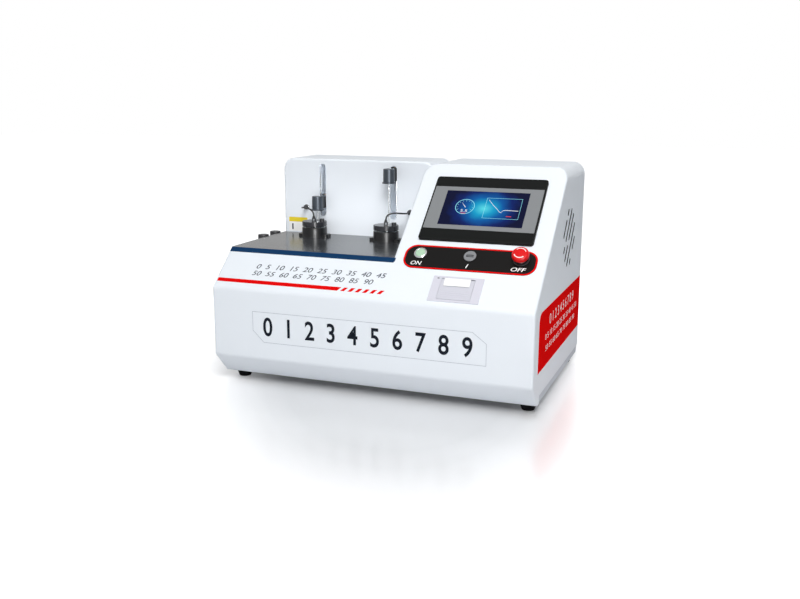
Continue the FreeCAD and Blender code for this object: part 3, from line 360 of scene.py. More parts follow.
FINISHES["tube_glass"] = glass_finish()
FINISHES["foam"] = foam_finish()
FINISHES["paper"] = paper_finish()
print("with glass, foam and paper", len(FINISHES))

# %% [markdown]
# A circuit board has copper tracks below its green lacquer, and the borders of a Voronoi pattern run
# much as such tracks do. The power button's cap is a frosted lens with a weak lamp behind it, so it
# gives out a little of its own colour.

# %% Circuit board and the lit cap
def board_finish():
    material, start = new_network("board_green")
    place = start.node("TexCoord", output=3)
    tracks = start.node("TexVoronoi", {"feature": "DISTANCE_TO_EDGE"},
                        {"Vector": place, "Scale": 1 / (5.0 * MM)})
    copper = start.sum("LESS_THAN", tracks, 0.06)
    shade = mix(start, copper, colour(24, 110, 62), colour(60, 150, 88))
    sockets = {"Base Color": shade, "Roughness": 0.35 + copper * 0.1}
    output(start, start.node("BsdfPrincipled", {}, sockets))
    return material


def lit_cap_finish():
    material, start = new_network("lit_cap")
    place = start.node("TexCoord", output=3)
    frost = noise(start, 2.0, place)
    shade = mix(start, frost, colour(164, 200, 170), colour(182, 212, 187))
    sockets = {"Base Color": shade, "Roughness": 0.3 + frost * 0.1, "Emission Color": shade,
               "Emission Strength": 0.08}
    output(start, start.node("BsdfPrincipled", {}, sockets))
    return material


FINISHES["board_green"] = board_finish()
FINISHES["lit_cap"] = lit_cap_finish()
print("all finishes", len(FINISHES))

# %% [markdown]
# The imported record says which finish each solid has. A few solids take a finer one: the socket's
# disc is mid grey in the photograph, the probe's yoke is black, the printer's door is a shade darker
# than its frame, and the lift's frame behind the slots is as light as the cabinet. Only the material
# slots of a solid are filled; its mesh and its place are left alone.

# %% Give every solid its finish
FINER = {"usb_socket": "socket_grey", "probes": "lead_black", "printer_door": "door_lilac",
         "lift_stands": "white_paint"}
for row in frame["record"]["subparts"]:
    materials = nodes[row["node"]].data.materials
    materials.clear()
    materials.append(FINISHES[FINER.get(row["node"], row["material_slot"])])

# %% [markdown]
# Most small pieces of an instrument are turned on a lathe or cut from sheet. The helpers follow the
# same trades. The first one is the lathe: it spins an outline round an axis. Spinning keeps every
# section round, which a shape pushed together from blocks would not.

# %% Lathe
def lathe(profile, sides=64, closed=False, sweep=math.tau):
    """Turn (radius, height) points about the z axis. A closed outline gives a ring."""
    bm = bmesh.new()
    outline = [bm.verts.new((radius, 0, height)) for radius, height in profile]
    edges = [bm.edges.new(pair) for pair in zip(outline, outline[1:])]
    if closed:
        edges.append(bm.edges.new((outline[-1], outline[0])))
    bmesh.ops.spin(bm, geom=outline + edges, cent=(0, 0, 0), axis=(0, 0, 1), angle=sweep,
                   steps=sides, use_merge=sweep == math.tau)
    bmesh.ops.remove_doubles(bm, verts=bm.verts, dist=1e-4)
    bmesh.ops.recalc_face_normals(bm, faces=bm.faces)
    return bm


sample = lathe([(2, 0), (3, 0), (3, 1), (2, 1)], 16, closed=True)
print("a turned washer has", len(sample.faces), "faces")
sample.free()

# %% [markdown]
# Sheet is cut to an outline first. A flat face stands for the cut piece, its corners are rounded as
# a punch would round them, and a frame is what stays when the middle is taken away.

# %% Flat outlines
def flat(points):
    """A flat face with the given corners, counted against the clock."""
    bm = bmesh.new()
    bm.faces.new([bm.verts.new((x, y, 0)) for x, y in points])
    bm.normal_update()
    return bm


def rectangle(width, height):
    x = width / 2
    y = height / 2
    return flat([(-x, -y), (x, -y), (x, y), (-x, y)])


def round_corners(bm, radius, steps=8, which=None):
    """Round all the corners of a flat face, or those whose numbers are given."""
    bm.verts.ensure_lookup_table()
    corners = list(bm.verts) if which is None else [bm.verts[i] for i in which]
    bmesh.ops.bevel(bm, geom=corners, offset=radius, segments=steps, profile=0.5,
                    affect="VERTICES", material=-1)
    return bm


def open_middle(bm, border):
    """Turn a flat face into a frame whose border has the given width."""
    middle = list(bm.faces)
    bmesh.ops.inset_region(bm, faces=middle, thickness=border, use_even_offset=True,
                           use_boundary=True)
    bmesh.ops.delete(bm, geom=middle, context="FACES")
    return bm


sample = open_middle(round_corners(rectangle(20, 10), 2), 1)
print("a rounded frame has", len(sample.faces), "faces")
sample.free()

# %% [markdown]
# A flat outline then gets its thickness by extrusion. Real edges are never quite sharp, so a small
# bevel softens them. Pieces of one colour that belong together are gathered into one mesh.

# %% Thickness, place, soft edges and gathering
def thicken(bm, low, high):
    """Give a flat shape a thickness, from z = low to z = high."""
    bmesh.ops.translate(bm, verts=bm.verts, vec=(0, 0, low))
    made = bmesh.ops.extrude_face_region(bm, geom=list(bm.faces))["geom"]
    top = [item for item in made if isinstance(item, bmesh.types.BMVert)]
    bmesh.ops.translate(bm, verts=top, vec=(0, 0, high - low))
    bmesh.ops.recalc_face_normals(bm, faces=bm.faces)
    return bm


def shifted(bm, x, y, z=0.0, turn=0.0):
    """Turn a shape about z by a number of degrees, then move it."""
    place = Matrix.Translation((x, y, z)) @ Matrix.Rotation(math.radians(turn), 4, "Z")
    bmesh.ops.transform(bm, matrix=place, verts=bm.verts)
    return bm


def soften(bm, width, steps=2, angle=40):
    """Round the sharp edges of a solid shape."""
    sharp = [edge for edge in bm.edges
             if len(edge.link_faces) == 2 and edge.calc_face_angle() > math.radians(angle)]
    bmesh.ops.bevel(bm, geom=sharp, offset=width, segments=steps, profile=0.5, affect="EDGES",
                    material=-1, clamp_overlap=True)
    return bm


def gather(shapes):
    """Put several shapes into one."""
    whole = bmesh.new()
    for shape in shapes:
        scratch = bpy.data.meshes.new("scratch")
        shape.to_mesh(scratch)
        shape.free()
        whole.from_mesh(scratch)
        bpy.data.meshes.remove(scratch)
    return whole


sample = thicken(round_corners(rectangle(20, 10), 2), 0, 1)
print("a rounded plate has", len(sample.faces), "faces")
sample.free()

# %% [markdown]
# A finished piece needs a mesh in the frame's metres, smooth shading with crisp edges, a finish, and
# a body to ride on. The body makes it move when the real part moves. A piece that stands for a solid
# hides that solid.

# %% Add a piece to the instrument
def add_piece(name, bm, place, material, body="root", replaced=(), crisp=35):
    bmesh.ops.transform(bm, matrix=place, verts=bm.verts)
    mesh = bpy.data.meshes.new(name)
    bm.to_mesh(mesh)
    bm.free()
    for face in mesh.polygons:
        face.use_smooth = True
    mesh.set_sharp_from_angle(angle=math.radians(crisp))
    mesh.materials.append(material)
    piece = bpy.data.objects.new(name, mesh)
    bpy.context.scene.collection.objects.link(piece)
    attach(piece, body)
    if replaced:
        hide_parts(*replaced)
    print(name, len(mesh.polygons), "faces, rides on", body)
    return piece


# %% [markdown]
# Each temperature probe has a short flexible lead. It leaves the gland on the lid straight upwards,
# bends over, and runs to a small plug in the front of the lift cabinet. A smooth curve with a few
# control points bends as such a lead does, and its bevel gives it its thickness.

# %% Probe leads and their plugs
LEAD_DIAMETER = 3.0
LEAD_ROUTE = {
    "left": [(86.3, 224.2, 257.5), (86.3, 224.2, 265.7), (80.6, 225.1, 272.2),
             (72.6, 227.8, 274.1), (63.6, 233.2, 274.4), (54.6, 240.6, 273.6),
             (48.4, 249.6, 272.0), (46.6, 257.2, 271.0), (46.6, 264.0, 271.0)],
    "right": [(234.4, 224.2, 257.5), (234.4, 224.2, 265.0), (238.7, 226.4, 270.8),
              (245.8, 230.6, 272.8), (253.6, 236.6, 272.4), (260.4, 244.6, 271.0),
              (264.0, 254.8, 270.0), (264.0, 264.0, 270.0)],
}
PLUG_PROFILE = [(0, 0), (4.4, 0), (4.6, 0.3), (4.6, 1.3), (4.2, 1.6), (4.2, 2.2), (4.6, 2.5),
                (4.6, 4.2), (3.7, 5.4), (3.4, 6.2), (3.4, 6.7), (3.0, 6.9), (3.0, 7.5),
                (3.1, 7.7), (3.1, 8.2), (2.6, 8.5), (2.4, 9.2), (1.9, 9.9), (0, 9.9)]


def lead_curve(side):
    curve = bpy.data.curves.new("probe_lead_" + side + "_sleeve", "CURVE")
    curve.dimensions = "3D"
    line = curve.splines.new("NURBS")
    points = LEAD_ROUTE[side]
    line.points.add(len(points) - 1)
    for control, point in zip(line.points, points):
        control.co = (*at(*point), 1.0)
    line.order_u = 3
    line.use_endpoint_u = True
    line.resolution_u = 16
    curve.bevel_depth = LEAD_DIAMETER / 2 * MM
    curve.bevel_resolution = 6
    curve.use_fill_caps = True
    curve.materials.append(FINISHES["lead_black"])
    lead = bpy.data.objects.new(curve.name, curve)
    bpy.context.scene.collection.objects.link(lead)
    return lead


for side, route in LEAD_ROUTE.items():
    lead = lead_curve(side)
    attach(lead, "root")
    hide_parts("probe_lead_" + side)
    tip = route[-1]
    plug = lathe(PLUG_PROFILE, 40)
    plug_place = placed(at(tip[0], tip[1] + PLUG_PROFILE[-1][1], tip[2]), UPRIGHT)
    plug_piece = add_piece("plug_" + side, plug, plug_place, FINISHES["dark_plastic"],
                           replaced=("lead_plugs",))

# %% [markdown]
# A soft boot keeps each lead from kinking where it leaves the probe's yoke. It is a tapered sleeve
# with grooves, turned like the plugs, and it sits on top of the yoke.

# %% Boots on the probes
BOOT_PROFILE = [(1.45, 0.0), (2.6, 0.0), (2.9, 0.3), (2.9, 0.9), (2.4, 0.9), (2.4, 1.5),
                (2.6, 1.7), (2.6, 2.4), (2.1, 2.4), (2.1, 2.9), (1.9, 3.6), (1.45, 3.9)]
for side, route in LEAD_ROUTE.items():
    add_piece("boot_" + side, lathe(BOOT_PROFILE, 40, closed=True), placed(at(*route[0])),
              FINISHES["lead_black"])

# %% [markdown]
# Numbers are printed on the instrument in thin vinyl. Blender's own font gives them: the text is
# turned into a mesh while it is still flat, is scaled to fill a given rectangle, and gets a thin
# edge so that it stands on the surface.

# %% Lettering
def lettering(words, left, right, low, high, thick, lean=0.0, weight=0.0, base=0.0):
    """Words that fill a rectangle in millimetres, thick millimetres high above base."""
    curve = bpy.data.curves.new("lettering", "FONT")
    curve.body = words
    curve.shear = lean
    curve.offset = weight
    curve.resolution_u = 5
    holder = bpy.data.objects.new("lettering", curve)
    mesh = bpy.data.meshes.new_from_object(holder)
    bm = bmesh.new()
    bm.from_mesh(mesh)
    bpy.data.objects.remove(holder)
    bpy.data.meshes.remove(mesh)
    bpy.data.curves.remove(curve)
    bmesh.ops.remove_doubles(bm, verts=bm.verts, dist=1e-5)
    xs = [vert.co.x for vert in bm.verts]
    ys = [vert.co.y for vert in bm.verts]
    wide = (right - left) / (max(xs) - min(xs))
    tall = (high - low) / (max(ys) - min(ys))
    print("lettering", repr(words), "stretched sideways", round(wide / tall, 2))
    fit = Matrix.Diagonal((wide, tall, 1, 1))
    bmesh.ops.translate(bm, verts=bm.verts, vec=(-min(xs), -min(ys), 0))
    bmesh.ops.transform(bm, matrix=fit, verts=bm.verts)
    bmesh.ops.translate(bm, verts=bm.verts, vec=(left, low, 0))
    return thicken(bm, base, base + thick)


# %% [markdown]
# Printed colours stand on the housing as cut vinyl, so they need finishes of their own: black, slate
# and white ink, a fine pale grey line, the yellow of a sticker, and red. Vinyl is slightly uneven
# and satin.

# %% Inks
ink_black = finish("ink_black", colour(18, 24, 36), 0.5, mottle=0.05, grain=0.8, dent=0.006,
                   **{"Specular IOR Level": 0.1})
ink_slate = finish("ink_slate", colour(50, 54, 68), 0.5, mottle=0.05, grain=0.8, dent=0.006,
                   **{"Specular IOR Level": 0.1})
ink_white = finish("ink_white", colour(250, 250, 250), 0.5, mottle=0.01, grain=0.8, dent=0.006)
ink_line = finish("ink_line", colour(178, 187, 198), 0.5, mottle=0.03, grain=0.8, dent=0.006)
ink_yellow = finish("ink_yellow", colour(232, 208, 40), 0.5, mottle=0.03, grain=0.8, dent=0.006)
ink_red = finish("ink_red", colour(228, 9, 10), 0.45, mottle=0.02, grain=1.2, dent=0.006,
                 **{"IOR": 1.1})
print("inks", [ink.name for ink in (ink_black, ink_slate, ink_white, ink_line, ink_yellow, ink_red)])

# %% [markdown]
# A thin outlined panel with a row of large figures fills the front face. The outline has two cut
# corners. Its frame is made by insetting the outline and taking the middle away.

# %% Front panel outline and figures
FRAME_LEFT, FRAME_RIGHT, FRAME_LOW, FRAME_HIGH = 75.5, 494.0, 68.0, 122.0
LINE = 0.7
VINYL = 0.12
outline = flat([(FRAME_LEFT + 21, FRAME_LOW), (FRAME_RIGHT, FRAME_LOW),
                (FRAME_RIGHT, FRAME_HIGH - 17.5), (FRAME_RIGHT - 23.5, FRAME_HIGH),
                (FRAME_LEFT, FRAME_HIGH), (FRAME_LEFT, FRAME_LOW + 20)])
front_place = placed(at(0, 0, 0), UPRIGHT)
add_piece("front_outline", thicken(open_middle(outline, LINE), 0, VINYL), front_place, ink_line,
          replaced=("vinyl_labels",))
figures = lettering("0  1  2  3  4  5  6  7  8  9", 96, 471, 79.5, 113.5, VINYL, weight=0.016)
add_piece("front_figures", figures, front_place, ink_black,
          replaced=("vinyl_labels",))

# %% [markdown]
# A red stripe runs along the foot of the slope and breaks up into six slanted dashes. Above it stand
# two rows of small leaning figures. All of it is flat shapes on the sloped face.

# %% Stripe, dashes and small figures on the slope
STRIPE_LOW, STRIPE_HIGH = 12.8, 20.5
STRIPE_LEAN = 5.6
STRIPE_START, STRIPE_END = 1.5, 232.0
DASH_PITCH = 13.1
DASH_WIDTH = 6.6


def stripe(start, end, start_lean):
    return flat([(start, STRIPE_LOW), (end, STRIPE_LOW), (end + STRIPE_LEAN, STRIPE_HIGH),
                 (start + start_lean, STRIPE_HIGH)])


bands = [stripe(STRIPE_START, STRIPE_END, 0)]
for dash in range(6):
    dash_start = STRIPE_END + STRIPE_LEAN + dash * DASH_PITCH
    bands.append(stripe(dash_start, dash_start + DASH_WIDTH, STRIPE_LEAN))
add_piece("slope_stripe", thicken(gather(bands), 0, VINYL), on_slope(0, 0), ink_red,
          replaced=("vinyl_labels",))
small_rows = gather([
    lettering("0  5  10  15  20  25  30  35  40  45", 66, 309, 46, 56, VINYL, lean=0.25),
    lettering("50  55  60  65  70  75  80  85  90", 63, 290, 31, 41, VINYL, lean=0.25),
])
add_piece("slope_figures", small_rows, on_slope(0, 0), ink_slate,
          replaced=("vinyl_labels",))

# %% [markdown]
# A large red label covers the lower part of the right side. Its upper front corner is rounded, and
# it carries three rows of white figures. Label and figures together are a quarter of a millimetre
# thick, as cut vinyl is.

# %% Side label
LABEL_FRONT, LABEL_BACK, LABEL_LOW, LABEL_HIGH = 31.7, 384.4, 54.0, 151.7
LABEL_THICK = 0.16
FIGURE_THICK = 0.08
side_place = placed(at(HOUSING_WIDTH, 0, 0), FACING_RIGHT)
label = flat([(LABEL_FRONT, LABEL_LOW), (LABEL_BACK, LABEL_LOW), (LABEL_BACK, LABEL_HIGH),
              (LABEL_FRONT, LABEL_HIGH)])
label = round_corners(label, 18, which=[3])
add_piece("side_label", thicken(label, 0, LABEL_THICK), side_place, FINISHES["vinyl_red"],
          replaced=("vinyl_labels",))
SIDE_ROWS = (("0 1 2 3 4 5 6 7 8 9", 110, 320, 118.5, 135.7),
             ("0 5 10 15 20 25 30 35 40 45 50", 80, 355, 98, 108),
             ("50 55 60 65 70 75 80 85 90", 84, 338, 78.6, 88))
side_rows = gather([
    lettering(words, left, right, low, high, FIGURE_THICK, base=LABEL_THICK)
    for words, left, right, low, high in SIDE_ROWS
])
add_piece("side_figures", side_rows, side_place, ink_white,
          replaced=("vinyl_labels",))

# %% [markdown]
# Slanted slots in the right side let air out; their ends follow a circle. Each slot is lined with a
# thin black edging: a liner as deep as the sheet, and a flat lip round it on the outside. Both are
# frames along the slot's rounded outline.

# %% Edging of the air slots
VENT_Y, VENT_Z, VENT_R, VENT_WIDTH = 254.5, 243.1, 51.0, 4.5
VENT_SLANT = Matrix.Rotation(math.radians(48), 4, "Z")
VENT_MIDDLE = -26.0
LINER_GAP = 0.04
LINER_WALL, LINER_DEPTH, LINER_TOP = 0.3, 1.45, 0.05
LIP_OVERLAP, LIP_WALL, LIP_TOP = 1.8, 1.2, 0.2
VENT_ROWS = {15.4: (7, 18), -6.5: (-35, -22), -26.5: (-18, -5), -48.0: None, -67.5: (-19, 3)}
edgings = []
for offset, gap in VENT_ROWS.items():
    across = offset - VENT_MIDDLE
    half = math.sqrt(VENT_R ** 2 - across ** 2)
    spans = [(-half, half)] if gap is None else [(-half, gap[0]), (gap[1], half)]
    for start_x, end_x in spans:
        length = end_x - start_x
        middle = (start_x + end_x) / 2
        liner = round_corners(rectangle(length - LINER_GAP, VENT_WIDTH - LINER_GAP), 2.2, 6)
        liner = thicken(open_middle(liner, LINER_WALL), -LINER_DEPTH, LINER_TOP)
        lip = round_corners(rectangle(length + LIP_OVERLAP, VENT_WIDTH + LIP_OVERLAP), 3.1, 6)
        lip = thicken(open_middle(lip, LIP_WALL), LINER_TOP, LIP_TOP)
        edgings += [shifted(liner, middle, across), shifted(lip, middle, across)]
add_piece("vent_edging", gather(edgings), placed(at(HOUSING_WIDTH, VENT_Y, VENT_Z),
                                                 FACING_RIGHT @ VENT_SLANT),
          FINISHES["rubber"])

# %% [markdown]
# A small sticker sits low on the left of the lift cabinet's front. It has a yellow band over a white
# field, and here it carries only a plain figure.

# %% Cabinet sticker
STICKER_LEFT, STICKER_RIGHT, STICKER_LOW, STICKER_HIGH = 6.5, 47.0, 222.0, 249.5
BAND_LOW = 240.5
STICKER_THICK, BAND_TOP = 0.1, 0.16
cabinet_place = placed(at(0, CABINET_Y, 0), UPRIGHT)
ground = flat([(STICKER_LEFT, STICKER_LOW), (STICKER_RIGHT, STICKER_LOW),
               (STICKER_RIGHT, STICKER_HIGH), (STICKER_LEFT, STICKER_HIGH)])
add_piece("sticker_ground", thicken(round_corners(ground, 1.5), 0, STICKER_THICK), cabinet_place,
          ink_white, replaced=("vinyl_labels",))
band = flat([(STICKER_LEFT, BAND_LOW), (STICKER_RIGHT, BAND_LOW), (STICKER_RIGHT, STICKER_HIGH),
             (STICKER_LEFT, STICKER_HIGH)])
band = thicken(round_corners(band, 1.5, which=[2, 3]), STICKER_THICK, BAND_TOP)
add_piece("sticker_band", band, cabinet_place, ink_yellow,
          replaced=("vinyl_labels",))
add_piece("sticker_figure", lettering("1", 13, 16, 225, 236.5, FIGURE_THICK, base=STICKER_THICK),
          cabinet_place, ink_slate, replaced=("vinyl_labels",))

# %% [markdown]
# The touch panel has a black film with a grey field, and the lit screen inside it. The glow is
# brightest in the middle and falls off to navy, so its colour comes from the distance to the
# screen's middle, measured along the slope. A Mapping node brings the coordinates there.

# %% Screen glow
SCREEN_U, SCREEN_V = 442.6, 204.3
SCREEN_WIDTH, SCREEN_HEIGHT = 146.6, 78.0
FIELD_U, FIELD_V = 442.1, 204.2
FIELD_WIDTH, FIELD_HEIGHT = 192.4, 96.3
FILM_TOP = 5.3


def glow_finish():
    material, start = new_network("screen_glow")
    place = start.node("TexCoord", output=3)
    middle = on_slope(SCREEN_U, SCREEN_V)
    local = start.node("Mapping", {"vector_type": "TEXTURE"},
                       {"Vector": place, "Location": middle.translation,
                        "Rotation": SLOPE_TURN.to_euler()})
    across = start.node("SeparateXYZ", {}, {0: local}, 0) / (SCREEN_WIDTH / 2 * MM)
    up = start.node("SeparateXYZ", {}, {0: local}, 1) / (SCREEN_HEIGHT / 2 * MM)
    reach = (across * across * 1.3 + up * up * 0.55) ** 0.5
    waves = noise(start, 26.0, place, 3.0)
    shade = start.node("ValToRGB", {"stops": [
        (0.0, colour(92, 226, 238)), (0.26, colour(22, 160, 206)), (0.5, colour(10, 92, 166)),
        (0.78, colour(12, 36, 104)), (1.0, colour(12, 16, 52)),
    ]}, {0: reach * (0.75 + waves * 0.5)})
    sockets = {"Base Color": colour(2, 3, 6), "Roughness": 0.3 + waves * 0.05,
               "Specular IOR Level": 0.06, "Emission Color": shade, "Emission Strength": 0.95}
    output(start, start.node("BsdfPrincipled", {}, sockets))
    return material


def ink_of_light(name, shown, strength=1.0):
    """Lines that a screen draws: the colour is given out, with a faint speckle."""
    material, start = new_network(name)
    place = start.node("TexCoord", output=3)
    speckle = noise(start, 0.8, place)
    shade = mix(start, speckle, tinted(shown, 0.85), shown)
    sockets = {"Base Color": colour(10, 12, 20), "Roughness": 0.35, "Emission Color": shade,
               "Emission Strength": strength}
    output(start, start.node("BsdfPrincipled", {}, sockets))
    return material


screen_glow = glow_finish()
light_cyan = ink_of_light("light_cyan", colour(140, 232, 248))
light_white = ink_of_light("light_white", colour(244, 248, 252))
light_red = ink_of_light("light_red", colour(222, 44, 60))
field_grey = finish("field_grey", colour(133, 136, 139), 0.42, mottle=0.02, grain=0.8, dent=0.004,
                    **{"Specular IOR Level": 0.2})
print("screen glows round", round(SCREEN_U, 1), round(SCREEN_V, 1))

# %% [markdown]
# The grey field and the screen are thin layers on the film, so each is a very thin plate. The field
# lies on the film and the screen on the field, and each starts where the layer below it ends.

# %% Grey field and screen
field = round_corners(rectangle(FIELD_WIDTH, FIELD_HEIGHT), 0.6)
add_piece("hmi_field", thicken(field, 0, 0.05), on_slope(FIELD_U, FIELD_V, FILM_TOP), field_grey)
add_piece("hmi_display", thicken(rectangle(SCREEN_WIDTH, SCREEN_HEIGHT), 0.05, 0.09),
          on_slope(SCREEN_U, SCREEN_V, FILM_TOP), screen_glow)

# %% [markdown]
# The screen shows a plain dial and a cooling curve, which is what such an instrument would plot: the
# temperature falls, rises a little when crystals form, and then stays level. The dial is a ring with
# ticks set round it by a loop. The curve is a line of points drawn out to a ribbon.

# %% Screen picture
PICTURE = 0.09
DIAL_X, DIAL_Y, DIAL_R = -34.0, 3.0, 17.0
TICK_R = DIAL_R - 3.5
DRAWN = 0.03


def ribbon(points, width):
    """A strip of the given width that follows a line of points."""
    bm = bmesh.new()
    line = [bm.verts.new((x, y, 0)) for x, y in points]
    edges = [bm.edges.new(pair) for pair in zip(line, line[1:])]
    made = bmesh.ops.extrude_edge_only(bm, edges=edges)["geom"]
    moved = [item for item in made if isinstance(item, bmesh.types.BMVert)]
    bmesh.ops.translate(bm, verts=moved, vec=(0, width, 0))
    return bm


def ring(outer, width):
    """A flat ring."""
    return lathe([(outer - width, 0), (outer, 0)])


ticks = []
for step in range(11):
    turn = math.radians(-30 + step * 24)
    long = 3.2 if step % 5 == 0 else 1.8
    tick = rectangle(long, 0.6)
    ticks.append(shifted(tick, DIAL_X + TICK_R * math.cos(turn), DIAL_Y + TICK_R * math.sin(turn),
                         0, math.degrees(turn)))
picture_place = on_slope(SCREEN_U, SCREEN_V, FILM_TOP)
dial = [shifted(ring(DIAL_R, 1.1), DIAL_X, DIAL_Y)] + ticks
chart_frame = shifted(open_middle(rectangle(62, 46), 0.6), 32, 2)
add_piece("screen_dial", thicken(gather(dial + [chart_frame]), PICTURE, PICTURE + DRAWN),
          picture_place, light_cyan)
curve_line = ribbon([(5, 20), (14, 9), (22, 1), (28, -6), (31, -8), (34, -3), (38, -2), (60, -2.6)],
                    1.1)
needle = shifted(flat([(-2, -0.7), (12.5, 0), (-2, 0.7)]), DIAL_X, DIAL_Y, 0, 128)
value = lettering("5.5", DIAL_X - 6, DIAL_X + 6, DIAL_Y - 12, DIAL_Y - 6.5, DRAWN, base=PICTURE)
add_piece("screen_curve", gather([thicken(curve_line, PICTURE, PICTURE + DRAWN),
                                  thicken(needle, PICTURE, PICTURE + DRAWN), value]),
          picture_place, light_white)
marks = [shifted(rectangle(9, 1.6), x, y) for x, y in ((DIAL_X, DIAL_Y - 15), (46, -15))]
add_piece("screen_marks", thicken(gather(marks), PICTURE, PICTURE + DRAWN), picture_place,
          light_red)

# %% [markdown]
# The control row is a black label with a red border. Its three places carry a switch word or a plain
# figure. The border is a frame, cut from the same rounded outline as the label.

# %% Control label border and words
OVERLAY_U, OVERLAY_V = 441.5, 96.5
OVERLAY_WIDTH, OVERLAY_HEIGHT, OVERLAY_R = 225.8, 49.6, 20.0
OVERLAY = 0.8
border = round_corners(rectangle(OVERLAY_WIDTH - 0.2, OVERLAY_HEIGHT - 0.2), OVERLAY_R, 16)
add_piece("control_border", thicken(open_middle(border, 2.8), OVERLAY, OVERLAY + 0.06),
          on_slope(OVERLAY_U, OVERLAY_V), ink_red)
CAPTIONS = {"ON": (343.5, 362.5), "1": (438.8, 442.8), "OFF": (514.0, 539.0)}
captions = [lettering(words, left, right, 78.6, 86.6, 0.06, lean=0.22, weight=0.012, base=OVERLAY)
            for words, (left, right) in CAPTIONS.items()]
add_piece("control_words", gather(captions), on_slope(0, 0), ink_white)

# %% [markdown]
# The stop button's head has two white curved marks that show which way to turn it to release. They
# ride on the head, so they turn with it. Each is a part of a ring, laid on the head's shallow cone.

# %% Release marks on the stop button
STOP_U, CONTROL_V = 527.5, 103.3
CROWN_Z, CROWN_FALL = 19.3, 1.3 / 13.6
MARK_RADII = (8.8, 10.2)
MARK_SWEEP = math.radians(115)
arcs = []
for turn in (20, 200):
    arc = lathe([(radius, CROWN_Z - radius * CROWN_FALL) for radius in MARK_RADII], 24,
                sweep=MARK_SWEEP)
    arcs.append(shifted(thicken(arc, 0.0, 0.08), 0, 0, 0, turn))
add_piece("stop_marks", gather(arcs), on_slope(STOP_U, CONTROL_V), ink_white, body="stop_head")

# %% [markdown]
# The printer's door has shallow ridges for the thumb, and its frame a small dark window. The ridges
# ride on the door. They keep clear of its hinge, so that they don't meet the frame as it opens.

# %% Printer details
PRINTER_U, PRINTER_V = 434.0, 33.5
PRINTER_PROUD = 1.5
WINDOW_U, WINDOW_V = 400.0, 53.9
RIDGE_HEIGHTS = (-6.9, -10.6, -14.3)
RIDGE_LENGTH = 46.0
ridges = []
for height in RIDGE_HEIGHTS:
    ridge = thicken(round_corners(rectangle(RIDGE_LENGTH, 1.0), 0.45, 4), 0, 0.35)
    ridges.append(shifted(soften(ridge, 0.15), 0, height))
add_piece("door_ridges", gather(ridges), on_slope(PRINTER_U, PRINTER_V, PRINTER_PROUD),
          FINISHES["printer_lilac"], body="printer_door")
window = thicken(round_corners(rectangle(3.4, 1.8), 0.5, 4), 0, 0.1)
add_piece("printer_window", window, on_slope(WINDOW_U, WINDOW_V, PRINTER_PROUD),
          FINISHES["dark_plastic"])

# %% [markdown]
# The paper slip comes out of the slot, turns over and ends in a torn edge. It is a curved strip,
# drawn along its width in steps, so that every other step of its end can be pulled back like the
# teeth of a torn edge. It rides on the door, as paper that is caught by the door's roller does.

# %% Paper slip
SLIP_WIDTH = 44.0
SLIP_STEPS = 44
TEAR_FROM = 5.3
TEAR_DEPTH = 0.5
slip_side = [(20.55, -5.4), (20.55, 0.8), (20.5, 2.4), (20.1, 3.4), (19.3, 4.1), (18.2, 4.3),
             (15.0, 4.25), (11.5, 4.0), (8.0, 3.4), (5.2, 2.6)]
slip = bmesh.new()
line = [slip.verts.new((-SLIP_WIDTH / 2, y, z)) for y, z in slip_side]
drawn = [slip.edges.new(pair) for pair in zip(line, line[1:])]
for step in range(SLIP_STEPS):
    made = bmesh.ops.extrude_edge_only(slip, edges=drawn)["geom"]
    drawn = [item for item in made if isinstance(item, bmesh.types.BMEdge)]
    verts = [item for item in made if isinstance(item, bmesh.types.BMVert)]
    bmesh.ops.translate(slip, verts=verts, vec=(SLIP_WIDTH / SLIP_STEPS, 0, 0))
for vert in slip.verts:
    if vert.co.y < TEAR_FROM:
        step = round((vert.co.x + SLIP_WIDTH / 2) / SLIP_WIDTH * SLIP_STEPS)
        vert.co.y += TEAR_DEPTH if step % 2 else 0.0
bmesh.ops.recalc_face_normals(slip, faces=slip.faces)
bmesh.ops.solidify(slip, geom=slip.faces, thickness=0.12)
add_piece("paper_slip", slip, on_slope(PRINTER_U, PRINTER_V), FINISHES["paper"],
          body="printer_door", replaced=("paper_strip",), crisp=50)

# %% [markdown]
# The instrument stands on a pale polished floor that shows a soft reflection of it. The floor is a
# plane that isn't part of the object. Its colour turns from pale grey to white with the distance
# from the instrument: the grey is painted shade round the instrument. To the camera alone it also
# glows more and reflects less the farther away it is, so that it fades into the white surroundings;
# this glow is painted light, weakest near the instrument. The painted shade is an oval that points
# at the camera.

